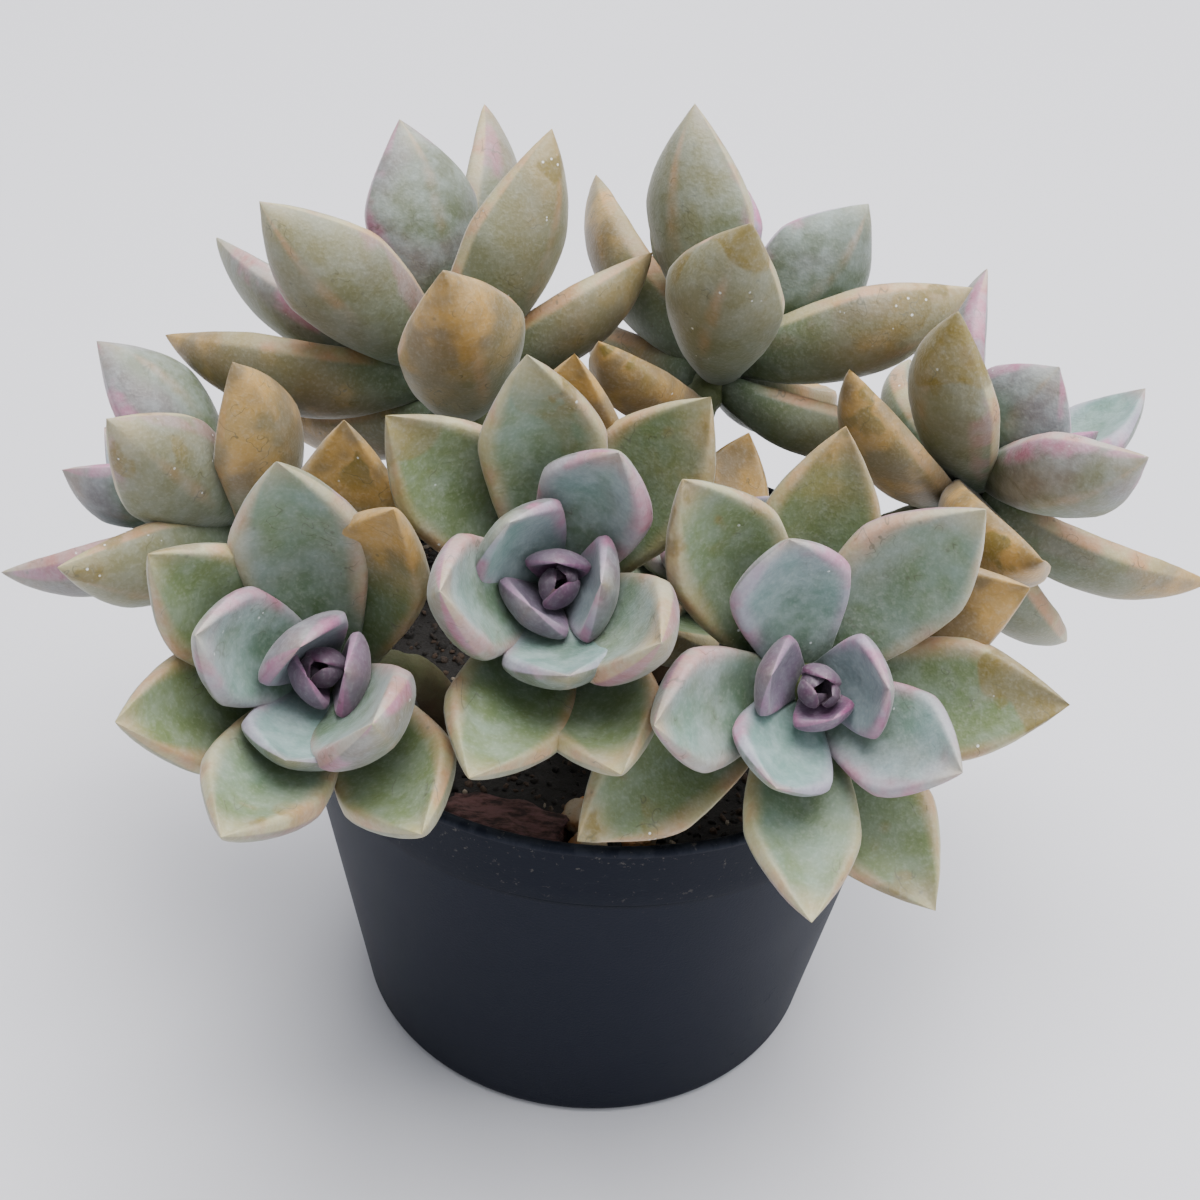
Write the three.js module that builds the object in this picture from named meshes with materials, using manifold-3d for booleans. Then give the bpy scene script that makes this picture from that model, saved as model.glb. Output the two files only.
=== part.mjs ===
// Potted graptopetalum: eight leafy stems in a squat black growing pot.
// Millimetres, +Z up, origin at the centre of the pot's underside, viewer towards -Y.
import * as THREE from 'three';
import Module from 'manifold-3d';
import { mergeVertices } from 'three/addons/utils/BufferGeometryUtils.js';

// Pot
const RIM_R = 50;
const POT_H = 71;
const BASE_R = 38.5;
const BASE_ROUND = 2;
const WALL = 1.5;
const FLOOR = 1.8;
const BAND_Z = 59.6;
const BAND_R = 48.9;
const BAND_STEP = 0.9;
const DRAIN_COUNT = 8;
const DRAIN_R = 3;
const DRAIN_RING = 29;
const POT_SIDES = 44;

// Growing mix
const MIX_Z = 61;
const FIT_GAP = 0.3;
const HOLE_GAP = 0.4;
const STEM_DEPTH = 12;

// Stems
const STEM_R = 3.1;
const STEM_STEPS = 8;
const CROWN_LENGTH = 14;
const SOIL_PULL = 0.62;

// Leaves
const GOLDEN = 137.508;
const LEAF_WIDTH = 0.47;
const YOUNG_WIDTH = 0.033;
const LEAF_THICK = 0.235;
const YOUNG_THICK = 0.03;
const WIDEST_AT = 0.6;
const BASE_WIDTH = 0.42;
const RINGS = [0, 0.22, 0.46, 0.68, 0.87];
const BUD_RINGS = [0.05, 0.45, 0.8];
const SECTION_TOP = [1, 0.5, -0.5, -1];
const SECTION_BACK = [-0.55, 0, 0.55];
const FACET_GROW = 1.04;
const LEAF_GAP = 1.1;
const SETTLE_STEPS = 60;
const FIRM_LEAVES = 5;

// One entry per leafy stem: crown centre, compass lean and tilt of its axis, turning hand, turn of the
// youngest leaf, opening of the leaves (start and gain), full leaf length, leaf count and lost leaves.
// bend holds what the photo shows of single leaves: [turn, opening, length factor].
const HEADS = [
  {
    name: 'rosette_front_right', at: [27.5, -41.5, 95.5], lean: 279, tilt: 56, hand: -1, turn: 219,
    open: [3, 72], leaf: 35.5, count: 18, lost: [16],
    bend: {
      3: [8, 8], 4: [-7, -6], 5: [1, 4], 6: [6, 13, 1.05], 7: [8, -2, 0.98], 8: [-1, 3],
      9: [3, 7, 1.06], 10: [-4, -1, 0.98], 11: [-7, 5, 1.04], 12: [2, 1, 1.02], 13: [-6, 5, 1.06],
      14: [3, 0], 15: [-10, 0, 1.03], 17: [-2, -24],
    },
  },
  {
    name: 'rosette_front_centre', at: [-7.5, -34, 104], lean: 272, tilt: 46, hand: 1, turn: 175,
    open: [-4, 62], leaf: 36, count: 16, lost: [],
    bend: {
      3: [7, 4], 4: [-10, -2], 5: [-5, -1], 6: [2, 3], 7: [7, 3], 9: [-3, -7, 0.98],
      10: [-7, 5, 1.04], 11: [5, 3], 12: [25, 3, 1.03], 13: [-18, 1, 1.02], 15: [13, -6],
    },
  },
  {
    name: 'rosette_front_left', at: [-37, -43, 94], lean: 271, tilt: 46, hand: 1, turn: 302,
    open: [-3, 49], leaf: 36, count: 18, lost: [6, 11, 16],
    bend: {
      4: [2, -9], 5: [-11, 14, 1.04], 7: [-13, 4], 8: [-1, -8], 9: [5, 12, 1.07], 10: [12, 6, 1.02],
      12: [-1, 2], 13: [18, 1], 14: [-7, -6, 0.97], 15: [-4, -3], 17: [-30, 5, 1.05],
    },
  },
  {
    name: 'rosette_left', at: [-68.6, 15.6, 83.3], lean: 162, tilt: 59, hand: -1, turn: 238,
    open: [4, 60], leaf: 40, count: 16, lost: [9, 11, 12, 14],
    bend: {
      4: [-12, 4], 5: [-24, 1], 7: [-7, -17], 8: [0, 14], 10: [2, 10, 0.95], 13: [16, 7, 0.91],
      15: [0, 0, 0.93],
    },
  },
  {
    name: 'rosette_back_left', at: [-34.6, 34.8, 106.5], lean: 127, tilt: 51, hand: -1, turn: 202,
    open: [5, 65], leaf: 44, count: 21, lost: [11, 15, 16, 17, 18],
    bend: {
      7: [3, -8], 8: [10, -8, 1.05], 9: [-17, -15], 10: [0, 0, 0.91], 12: [-8, 2, 0.95],
      13: [-9, -5, 0.98], 14: [-51, 14, 0.84], 19: [44, -23, 1.07], 20: [-31, -9, 0.95],
    },
  },
  {
    name: 'rosette_back_right', at: [19.9, 41.0, 107.7], lean: 62, tilt: 51, hand: -1, turn: 19,
    open: [7, 63], leaf: 43, count: 23, lost: [8, 10, 17, 18, 19, 20, 21],
    bend: {
      4: [-7, -7, 1.08], 6: [10, 0, 0.98], 9: [-10, 3, 0.97], 11: [5, 1, 0.92], 12: [-18, 8, 0.97],
      13: [14, 5, 0.98], 14: [-9, 9, 0.92], 15: [-14, 8, 0.97], 16: [0, 8, 0.75],
      22: [-15, 6, 0.73],
    },
  },
  {
    name: 'rosette_right', at: [63.7, 25.3, 94.8], lean: 31, tilt: 47, hand: 1, turn: 264,
    open: [11, 74], leaf: 40, count: 16, lost: [4, 9],
    bend: {
      2: [-13, -1, 1.12], 5: [-1, 6], 6: [-9, -27], 7: [0, -9], 8: [-13, 5, 0.94], 10: [9, 3, 0.95],
      11: [0, 0, 0.98], 12: [-18, 1], 13: [9, 15, 0.98], 14: [-16, 16], 15: [28, 1, 0.93],
    },
  },
  {
    name: 'rosette_middle', at: [14.4, -0.9, 86.9], lean: 316, tilt: 13, hand: 1, turn: 60,
    open: [6, 66], leaf: 31, count: 13, lost: [11],
    bend: {
      6: [5, -1], 8: [-1, 10, 0.94],
    },
  },
];

// Loose pieces lying on the mix: name, place, half sizes, turn, and whether it is bark.
const LOOSE = [
  { name: 'bark_chunk', at: [-13, -39.5], half: [8.5, 3.4, 2.4], turn: -12, bark: true },
  { name: 'pebble_orange', at: [-1.5, -36], half: [3.2, 2.5, 2.2], turn: 25 },
  { name: 'pebble_beige', at: [-0.5, -43], half: [3.0, 2.3, 2.0], turn: -40 },
  { name: 'pebble_tan', at: [6.5, -39], half: [2.4, 2.1, 1.7], turn: 60 },
  { name: 'pebble_back', at: [-4, 4], half: [3.0, 2.6, 2.1], turn: 10 },
];

const wasm = await Module();
wasm.setup();

const rad = (deg) => (deg * Math.PI) / 180;

/** A three.js geometry as a solid that can be joined and cut. */
function toSolid(geometry) {
  const plain = geometry.clone();
  plain.deleteAttribute('normal');
  plain.deleteAttribute('uv');
  const merged = mergeVertices(plain, 1e-4);
  const mesh = new wasm.Mesh({
    numProp: 3,
    vertProperties: new Float32Array(merged.attributes.position.array),
    triVerts: new Uint32Array(merged.index.array),
  });
  return new wasm.Manifold(mesh);
}

/** A finished solid as a three.js geometry. */
function toGeometry(solid) {
  const mesh = solid.getMesh();
  const geometry = new THREE.BufferGeometry();
  geometry.setAttribute('position', new THREE.BufferAttribute(mesh.vertProperties, 3));
  geometry.setIndex(new THREE.BufferAttribute(mesh.triVerts, 1));
  geometry.computeVertexNormals();
  return geometry;
}

/** Keep only the outer skin, so a pocket shut between leaves is filled. */
function outerSkin(solid) {
  const shells = solid.decompose();
  return shells.reduce((best, shell) => (shell.volume() > best.volume() ? shell : best));
}

/** The crown's own directions: side, up the picture, and out along its axis. */
function crownFrame(head) {
  const lean = rad(head.lean);
  const tilt = rad(head.tilt);
  const out = new THREE.Vector3(
    Math.cos(lean) * Math.sin(tilt), Math.sin(lean) * Math.sin(tilt), Math.cos(tilt));
  const up = new THREE.Vector3(0, 1, 0).addScaledVector(out, -out.y).normalize();
  const side = new THREE.Vector3().crossVectors(up, out);
  return { side, up, out };
}

/** Share of the full leaf length reached by leaf k, counted from the youngest. */
function growth(k) {
  const u = Math.min(k / 11, 1);
  return 0.15 + 0.85 * (u * u * (3 - 2 * u)) ** 0.85;
}

/** Half-width share along a leaf: narrow base, widest past the middle, pointed tip. */
function widthShare(t) {
  if (t < WIDEST_AT) {
    return BASE_WIDTH + (1 - BASE_WIDTH) * Math.sin((Math.PI / 2) * (t / WIDEST_AT)) ** 1.15;
  }
  return 1 - ((t - WIDEST_AT) / (1 - WIDEST_AT)) ** 1.5;
}

/** Thickness share along a leaf. */
function thickShare(t) {
  if (t < 0.45) {
    return 0.5 + 0.5 * Math.sin((Math.PI / 2) * (t / 0.45));
  }
  return (1 - ((t - 0.45) / 0.55) ** 2.6) ** 0.9;
}

/** One leaf as driving values, placed by the golden turn from leaf to leaf. */
function makeLeaf(head, frame, k) {
  const [turn, opening, factor] = [...(head.bend[k] ?? [0, 0]), 1];
  const length = head.leaf * growth(k) * factor;
  return {
    k,
    head,
    frame,
    turn: rad(head.turn + head.hand * k * GOLDEN + turn),
    opening: rad(head.open[0] + head.open[1] * (k / 15) ** 0.8 + opening),
    length,
    width: length * (LEAF_WIDTH + YOUNG_WIDTH * Math.max(0, 10 - k)),
    thick: length * (LEAF_THICK + YOUNG_THICK * Math.max(0, FIRM_LEAVES - k)),
    bow: 0.06 + 0.06 * Math.max(0, 1 - k / 8),
    depth: 0.6 + 0.9 * k,
    offset: Math.min(1.5, 0.3 + 0.3 * k),
  };
}

/** Where a leaf grows from and the directions along, out of and across its upper face. */
function leafAxes(leaf) {
  const { side, up, out } = leaf.frame;
  const away = new THREE.Vector3()
    .addScaledVector(side, Math.cos(leaf.turn))
    .addScaledVector(up, Math.sin(leaf.turn));
  const along = new THREE.Vector3()
    .addScaledVector(away, Math.sin(leaf.opening))
    .addScaledVector(out, Math.cos(leaf.opening));
  const face = new THREE.Vector3()
    .addScaledVector(away, -Math.cos(leaf.opening))
    .addScaledVector(out, Math.sin(leaf.opening));
  const across = new THREE.Vector3().crossVectors(along, face);
  const root = new THREE.Vector3(...leaf.head.at)
    .addScaledVector(out, -leaf.depth)
    .addScaledVector(away, leaf.offset);
  return { root, along, face, across };
}

// Clearance: neighbouring heads lean their leaves apart until they are clear
const PROBE_T = [0.28, 0.45, 0.62, 0.78, 0.91];
const PROBE_V = [-0.58, 0, 0.58];
const POT_LINES = [[[49, POT_H], [47, 60]], [[47, 60], [37.5, 0]]];

/** Balls that fill a leaf, each with how it moves when the leaf turns or opens. */
function leafProbes(leaf) {
  const { root, along, face, across } = leafAxes(leaf);
  const centre = new THREE.Vector3(...leaf.head.at);
  const probes = [];
  for (const t of PROBE_T) {
    const half = (leaf.width / 2) * widthShare(t);
    const thick = leaf.thick * thickShare(t);
    for (const v of PROBE_V) {
      const a = leaf.length * t;
      const b = -leaf.bow * leaf.length * 4 * t * (1 - t) - 0.22 * thick * (1 - 0.5 * Math.abs(v));
      const at = root.clone().addScaledVector(along, a).addScaledVector(face, b)
        .addScaledVector(across, half * v);
      const onOpen = new THREE.Vector3().addScaledVector(face, -a).addScaledVector(along, b);
      const onTurn = new THREE.Vector3().crossVectors(leaf.frame.out, at.clone().sub(centre));
      probes.push({ at, r: v === 0 ? 0.5 * thick : Math.min(0.4 * thick, 0.45 * half), onTurn, onOpen });
    }
  }
  return probes;
}

/** Balls along a stem, which stay put while the leaves of other heads move. */
function stemProbes(head) {
  const line = new StemLine(head);
  const zero = new THREE.Vector3();
  return Array.from({ length: 12 }, (_, i) => ({
    at: line.getPoint(0.2 + 0.75 * (i / 11)), r: STEM_R, onTurn: zero, onOpen: zero,
  }));
}

/** Depth and direction of a ball's bite into the pot wall or the mix. */
function potContacts(probe) {
  const found = [];
  const { x, y, z } = probe.at;
  const rho = Math.hypot(x, y);
  let near = null;
  for (const [[r0, z0], [r1, z1]] of POT_LINES) {
    const er = r1 - r0;
    const ez = z1 - z0;
    const s = Math.min(1, Math.max(0, ((rho - r0) * er + (z - z0) * ez) / (er * er + ez * ez)));
    const dr = rho - r0 - s * er;
    const dz = z - z0 - s * ez;
    const gap = Math.hypot(dr, dz);
    if (!near || gap < near.gap) near = { gap, dr, dz };
  }
  const bite = probe.r + 1.3 + LEAF_GAP - near.gap;
  if (bite > 0) {
    const way = new THREE.Vector3((x / rho) * near.dr, (y / rho) * near.dr, near.dz);
    found.push({ bite, way: way.divideScalar(Math.max(near.gap, 1e-6)) });
  }
  const sunk = probe.r + MIX_Z + 0.5 + LEAF_GAP - z;
  if (sunk > 0 && rho < 47) found.push({ bite: sunk, way: new THREE.Vector3(0, 0, 1) });
  return found;
}

/** Turn and open the leaves a little at a time until no ball bites another head, the pot or the mix. */
function settle(leaves) {
  const stems = HEADS.map((head) => ({ head, probes: stemProbes(head), firm: true }));
  for (let step = 0; step < SETTLE_STEPS; step += 1) {
    const movers = leaves.map((leaf) => ({
      leaf, head: leaf.head, probes: leafProbes(leaf), firm: leaf.k < FIRM_LEAVES,
      h: [60, 0, 60], g: [0, 0],
    }));
    const all = [...movers, ...stems];
    for (const body of all) {
      body.centre = body.probes.reduce((sum, p) => sum.add(p.at), new THREE.Vector3())
        .divideScalar(body.probes.length);
      body.reach = 5 + Math.max(...body.probes.map((p) => p.at.distanceTo(body.centre)));
    }
    const push = (mover, probe, way, bite) => {
      const jt = probe.onTurn.dot(way);
      const jo = probe.onOpen.dot(way);
      mover.h[0] += jt * jt;
      mover.h[1] += jt * jo;
      mover.h[2] += jo * jo;
      mover.g[0] += jt * bite;
      mover.g[1] += jo * bite;
    };
    for (let i = 0; i < movers.length; i += 1) {
      const a = movers[i];
      for (let j = i + 1; j < all.length; j += 1) {
        const b = all[j];
        if (a.head === b.head || (a.firm && b.firm)) continue;
        if (a.centre.distanceTo(b.centre) > a.reach + b.reach) continue;
        const shareA = a.firm ? 0 : (b.firm ? 1 : 0.5);
        for (const p of a.probes) {
          for (const q of b.probes) {
            const gap = p.at.distanceTo(q.at);
            const bite = p.r + q.r + LEAF_GAP - gap;
            if (bite <= 0) continue;
            const way = p.at.clone().sub(q.at).divideScalar(Math.max(gap, 1e-6));
            if (shareA > 0) push(a, p, way, bite * shareA);
            if (shareA < 1) push(b, q, way.clone().negate(), bite * (1 - shareA));
          }
        }
      }
      for (const p of a.probes) {
        for (const { bite, way } of potContacts(p)) push(a, p, way, bite);
      }
    }
    for (const { leaf, h, g } of movers) {
      const det = h[0] * h[2] - h[1] * h[1];
      const limit = (v) => Math.min(0.06, Math.max(-0.06, 0.8 * v));
      leaf.turn += limit((g[0] * h[2] - g[1] * h[1]) / det);
      leaf.opening += limit((g[1] * h[0] - g[0] * h[1]) / det);
    }
  }
}

/** A leaf solid: a ball reshaped ring by ring into a flat-topped, keeled, pointed leaf. */
function leafSolid(leaf) {
  const { root, along, face, across } = leafAxes(leaf);
  const rings = leaf.k < FIRM_LEAVES ? BUD_RINGS : RINGS;
  const rows = rings.length + 1;
  const section = [...SECTION_TOP, ...SECTION_BACK];
  const sides = section.length;
  const ball = new THREE.SphereGeometry(1, sides, rows);
  const spot = ball.attributes.position;
  for (let row = 0; row <= rows; row += 1) {
    for (let col = 0; col <= sides; col += 1) {
      const at = root.clone();
      if (row === rows) at.addScaledVector(along, leaf.length);
      if (row > 0 && row < rows) {
        const t = rings[row - 1];
        const v = section[col % sides];
        const half = (leaf.width / 2) * widthShare(t) * FACET_GROW;
        const thick = leaf.thick * thickShare(t) * FACET_GROW;
        const above = 0.28 * thick * Math.sqrt(1 - Math.abs(v) ** 5);
        const below = -0.72 * thick * (1 - Math.abs(v) ** 1.7) ** 0.6;
        const lift = (col % sides) < SECTION_TOP.length ? above : below;
        at.addScaledVector(along, leaf.length * t)
          .addScaledVector(face, lift - leaf.bow * leaf.length * 4 * t * (1 - t))
          .addScaledVector(across, half * v);
      }
      spot.setXYZ(row * (sides + 1) + col, at.x, at.y, at.z);
    }
  }
  const solid = toSolid(ball);
  return solid.volume() > 0 ? solid : toSolid(turnedInsideOut(ball));
}

/** The same surface with its faces turned the other way. */
function turnedInsideOut(geometry) {
  const flipped = geometry.clone();
  const { array } = flipped.index;
  for (let i = 0; i < array.length; i += 3) [array[i], array[i + 1]] = [array[i + 1], array[i]];
  return flipped;
}

/** The line of a stem: up from the mix in a bend, then straight along the crown's axis. */
class StemLine extends THREE.Curve {
  constructor(head) {
    super();
    const { out } = crownFrame(head);
    this.tip = new THREE.Vector3(...head.at).addScaledVector(out, -0.6);
    const top = new THREE.Vector3(...head.at).addScaledVector(out, -CROWN_LENGTH);
    const foot = new THREE.Vector3(top.x * SOIL_PULL, top.y * SOIL_PULL, MIX_Z + 1);
    const rise = foot.clone();
    rise.z = top.z;
    this.bend = new THREE.CubicBezierCurve3(foot, rise, top.clone().addScaledVector(out, -5), top);
    this.toe = foot.clone();
    this.toe.z = MIX_Z - STEM_DEPTH;
  }

  getPoint(t, target = new THREE.Vector3()) {
    if (t < 0.2) return target.copy(this.toe).lerp(this.bend.v0, t / 0.2);
    if (t < 0.7) return this.bend.getPoint((t - 0.2) / 0.5, target);
    return target.copy(this.bend.v3).lerp(this.tip, (t - 0.7) / 0.3);
  }
}

/** A stem: a round bar along its line. */
function stemSolid(head) {
  const round = new THREE.Shape().absarc(0, 0, STEM_R, 0, 2 * Math.PI);
  const bar = new THREE.ExtrudeGeometry(round, {
    steps: STEM_STEPS, curveSegments: 4, bevelEnabled: false, extrudePath: new StemLine(head),
  });
  return toSolid(bar);
}

/** One leafy stem: the stem and all its leaves joined. */
function headSolid(head, leaves) {
  const parts = [stemSolid(head)];
  const { out } = crownFrame(head);
  const heart = new THREE.SphereGeometry(2.4, 8, 5);
  heart.translate(...new THREE.Vector3(...head.at).addScaledVector(out, -0.6).toArray());
  parts.push(toSolid(heart));
  for (const leaf of leaves) parts.push(leafSolid(leaf));
  return outerSkin(wasm.Manifold.union(parts));
}

/** The pot: a thin tapered cup with a stepped collar band under its rim and holes in its floor. */
function potSolid() {
  const bandFoot = BAND_R - BAND_STEP;
  const profile = [
    [0, 0], [BASE_R - BASE_ROUND, 0], [BASE_R - 0.6, 0.5], [BASE_R, BASE_ROUND],
    [bandFoot, BAND_Z - 0.9], [BAND_R, BAND_Z], [RIM_R - 0.3, POT_H - 1], [RIM_R - 0.4, POT_H - 0.2],
    [RIM_R - 0.9, POT_H], [RIM_R - WALL, POT_H - 0.3], [RIM_R - WALL - 0.2, POT_H - 1.2],
    [BAND_R - WALL - 0.4, BAND_Z - 1.5], [BASE_R - WALL + 0.2, FLOOR + 2], [BASE_R - WALL - 1, FLOOR],
    [0, FLOOR],
  ].map(([r, z]) => new THREE.Vector2(r, z));
  let pot = toSolid(new THREE.LatheGeometry(profile, POT_SIDES).rotateX(Math.PI / 2));
  for (let i = 0; i < DRAIN_COUNT; i += 1) {
    const angle = (i + 0.5) * ((2 * Math.PI) / DRAIN_COUNT);
    const drill = new THREE.CylinderGeometry(DRAIN_R, DRAIN_R, 10, 12).rotateX(Math.PI / 2);
    drill.translate(DRAIN_RING * Math.cos(angle), DRAIN_RING * Math.sin(angle), 0);
    pot = pot.subtract(toSolid(drill));
  }
  return pot;
}

/** The mix: a filling just clear of the wall, with a plain hole for every stem. */
function mixSolid() {
  const profile = [
    [0, FLOOR + FIT_GAP], [BASE_R - WALL - 1 - FIT_GAP, FLOOR + FIT_GAP],
    [BASE_R - WALL + 0.2 - FIT_GAP, FLOOR + 2], [BAND_R - WALL - 0.4 - FIT_GAP, BAND_Z - 1.5],
    [BAND_R - WALL - 0.4 - FIT_GAP, MIX_Z - 1.2], [BAND_R - WALL - 3, MIX_Z], [0, MIX_Z + 0.4],
  ].map(([r, z]) => new THREE.Vector2(r, z));
  let mix = toSolid(new THREE.LatheGeometry(profile, POT_SIDES).rotateX(Math.PI / 2));
  for (const head of HEADS) {
    const { bend } = new StemLine(head);
    const hole = new THREE.CylinderGeometry(STEM_R + HOLE_GAP, STEM_R + HOLE_GAP, 30, 12)
      .rotateX(Math.PI / 2);
    hole.translate(bend.v0.x, bend.v0.y, MIX_Z - STEM_DEPTH - HOLE_GAP + 15);
    mix = mix.subtract(toSolid(hole));
  }
  return mix;
}

/** A small rough lump lying on the mix. */
function looseSolid(piece, index) {
  const lump = piece.bark
    ? new THREE.BoxGeometry(2, 2, 2, 4, 2, 2)
    : new THREE.IcosahedronGeometry(1.15, 1);
  const spot = lump.attributes.position;
  for (let i = 0; i < spot.count; i += 1) {
    const [x, y, z] = [spot.getX(i), spot.getY(i), spot.getZ(i)];
    const wave = Math.sin(5.1 * x + 3.7 * y + index) * Math.cos(4.3 * z - 2.9 * x + 2 * index);
    const rough = 1 + 0.12 * wave - (piece.bark ? 0.1 * Math.abs(x) : 0);
    const [hx, hy, hz] = piece.half;
    spot.setXYZ(i, x * (1 + 0.05 * wave) * hx, y * rough * hy, z * rough * hz);
  }
  lump.rotateZ(rad(piece.turn));
  lump.computeBoundingBox();
  const top = MIX_Z + 0.4 + FIT_GAP;
  lump.translate(piece.at[0], piece.at[1], top - lump.boundingBox.min.z);
  return toSolid(lump);
}

const finish = (color, roughness) => new THREE.MeshStandardMaterial({ color, roughness, metalness: 0 });
const BLACK_PLASTIC = finish('#262a33', 0.5);
const DARK_MIX = finish('#2b2622', 0.95);
const LEAF_GREEN = finish('#aeb8a2', 0.55);
const BARK_BROWN = finish('#7a5148', 0.9);
const PEBBLE_TAN = finish('#b0875c', 0.8);

const group = new THREE.Group();
group.name = 'potted_graptopetalum';

/** Add one named solid to the group. */
function place(name, solid, material) {
  const mesh = new THREE.Mesh(toGeometry(solid), material);
  mesh.name = name;
  group.add(mesh);
}

const leaves = [];
for (const head of HEADS) {
  const frame = crownFrame(head);
  for (let k = 0; k < head.count; k += 1) {
    if (!head.lost.includes(k)) leaves.push(makeLeaf(head, frame, k));
  }
}
settle(leaves);

place('pot', potSolid(), BLACK_PLASTIC);
place('growing_mix', mixSolid(), DARK_MIX);
for (const head of HEADS) {
  place(head.name, headSolid(head, leaves.filter((leaf) => leaf.head === head)), LEAF_GREEN);
}
LOOSE.forEach((piece, index) => {
  place(piece.name, looseSolid(piece, index), piece.bark ? BARK_BROWN : PEBBLE_TAN);
});

export default group;
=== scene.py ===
"""Potted graptopetalum: fine leaves, pot and mix fitted over the fixed model."""

import logging
import math
from dataclasses import dataclass, field
from enum import Enum
from typing import Any, Callable, Sequence

import bmesh
import bpy
import numpy as np
from mathutils import Matrix, Vector, noise


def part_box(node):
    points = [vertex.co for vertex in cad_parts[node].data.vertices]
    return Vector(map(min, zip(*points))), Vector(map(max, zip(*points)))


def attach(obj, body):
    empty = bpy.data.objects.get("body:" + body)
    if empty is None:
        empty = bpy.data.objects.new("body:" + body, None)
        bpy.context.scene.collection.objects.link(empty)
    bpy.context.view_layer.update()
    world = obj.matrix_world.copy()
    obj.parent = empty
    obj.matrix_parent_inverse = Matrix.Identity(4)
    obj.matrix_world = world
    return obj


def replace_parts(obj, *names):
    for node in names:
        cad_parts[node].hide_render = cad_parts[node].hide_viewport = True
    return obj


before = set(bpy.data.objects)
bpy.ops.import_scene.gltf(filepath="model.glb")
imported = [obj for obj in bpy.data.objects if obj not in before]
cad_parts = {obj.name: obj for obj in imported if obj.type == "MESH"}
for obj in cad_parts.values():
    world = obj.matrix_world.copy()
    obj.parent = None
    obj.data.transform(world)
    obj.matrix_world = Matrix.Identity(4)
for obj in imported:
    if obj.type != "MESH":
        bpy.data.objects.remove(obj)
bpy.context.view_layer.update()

LOG = logging.getLogger("graptopetalum")
MM = 0.001
GOLDEN = math.radians(137.508)

Colour = tuple[float, float, float]
Hits = tuple[np.ndarray, np.ndarray, np.ndarray]


# Node trees


class Wire:
    """A node socket that takes part in sums."""

    def __init__(self, net: "Net", socket: bpy.types.NodeSocket) -> None:
        """Hold an output socket of a net."""
        self.net = net
        self.socket = socket

    def __add__(self, other: Any) -> "Wire":
        """Sum."""
        return self.net.math("ADD", self, other)

    def __radd__(self, other: Any) -> "Wire":
        """Sum from the left."""
        return self.net.math("ADD", other, self)

    def __sub__(self, other: Any) -> "Wire":
        """Difference."""
        return self.net.math("SUBTRACT", self, other)

    def __rsub__(self, other: Any) -> "Wire":
        """Difference from the left."""
        return self.net.math("SUBTRACT", other, self)

    def __mul__(self, other: Any) -> "Wire":
        """Product."""
        return self.net.math("MULTIPLY", self, other)

    def __rmul__(self, other: Any) -> "Wire":
        """Product from the left."""
        return self.net.math("MULTIPLY", other, self)

    def __truediv__(self, other: Any) -> "Wire":
        """Quotient."""
        return self.net.math("DIVIDE", self, other)

    def __pow__(self, other: Any) -> "Wire":
        """Power."""
        return self.net.math("POWER", self, other)

    def __neg__(self) -> "Wire":
        """Turn the sign."""
        return self.net.math("MULTIPLY", self, -1.0)

    def __abs__(self) -> "Wire":
        """Size without sign."""
        return self.net.math("ABSOLUTE", self)

    def clamp(self) -> "Wire":
        """Keep between 0 and 1."""
        return self.net.math("MINIMUM", self.net.math("MAXIMUM", self, 0.0), 1.0)

    def least(self, other: Any) -> "Wire":
        """The smaller of two values."""
        return self.net.math("MINIMUM", self, other)

    def most(self, other: Any) -> "Wire":
        """The larger of two values."""
        return self.net.math("MAXIMUM", self, other)

    def over(self, level: Any) -> "Wire":
        """1 where the value is above a level, else 0."""
        return self.net.math("GREATER_THAN", self, level)

    def ramp(self, low: float, high: float) -> "Wire":
        """A smooth step from 0 at low to 1 at high."""
        values = {"Value": self, "From Min": low, "From Max": high}
        return self.net.wire("ShaderNodeMapRange", {"interpolation_type": "SMOOTHSTEP"}, values)

    def pick(self, yes: Any, no: Any) -> "Wire":
        """Blend from no at 0 to yes at 1."""
        return self * yes + (1.0 - self) * no


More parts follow.
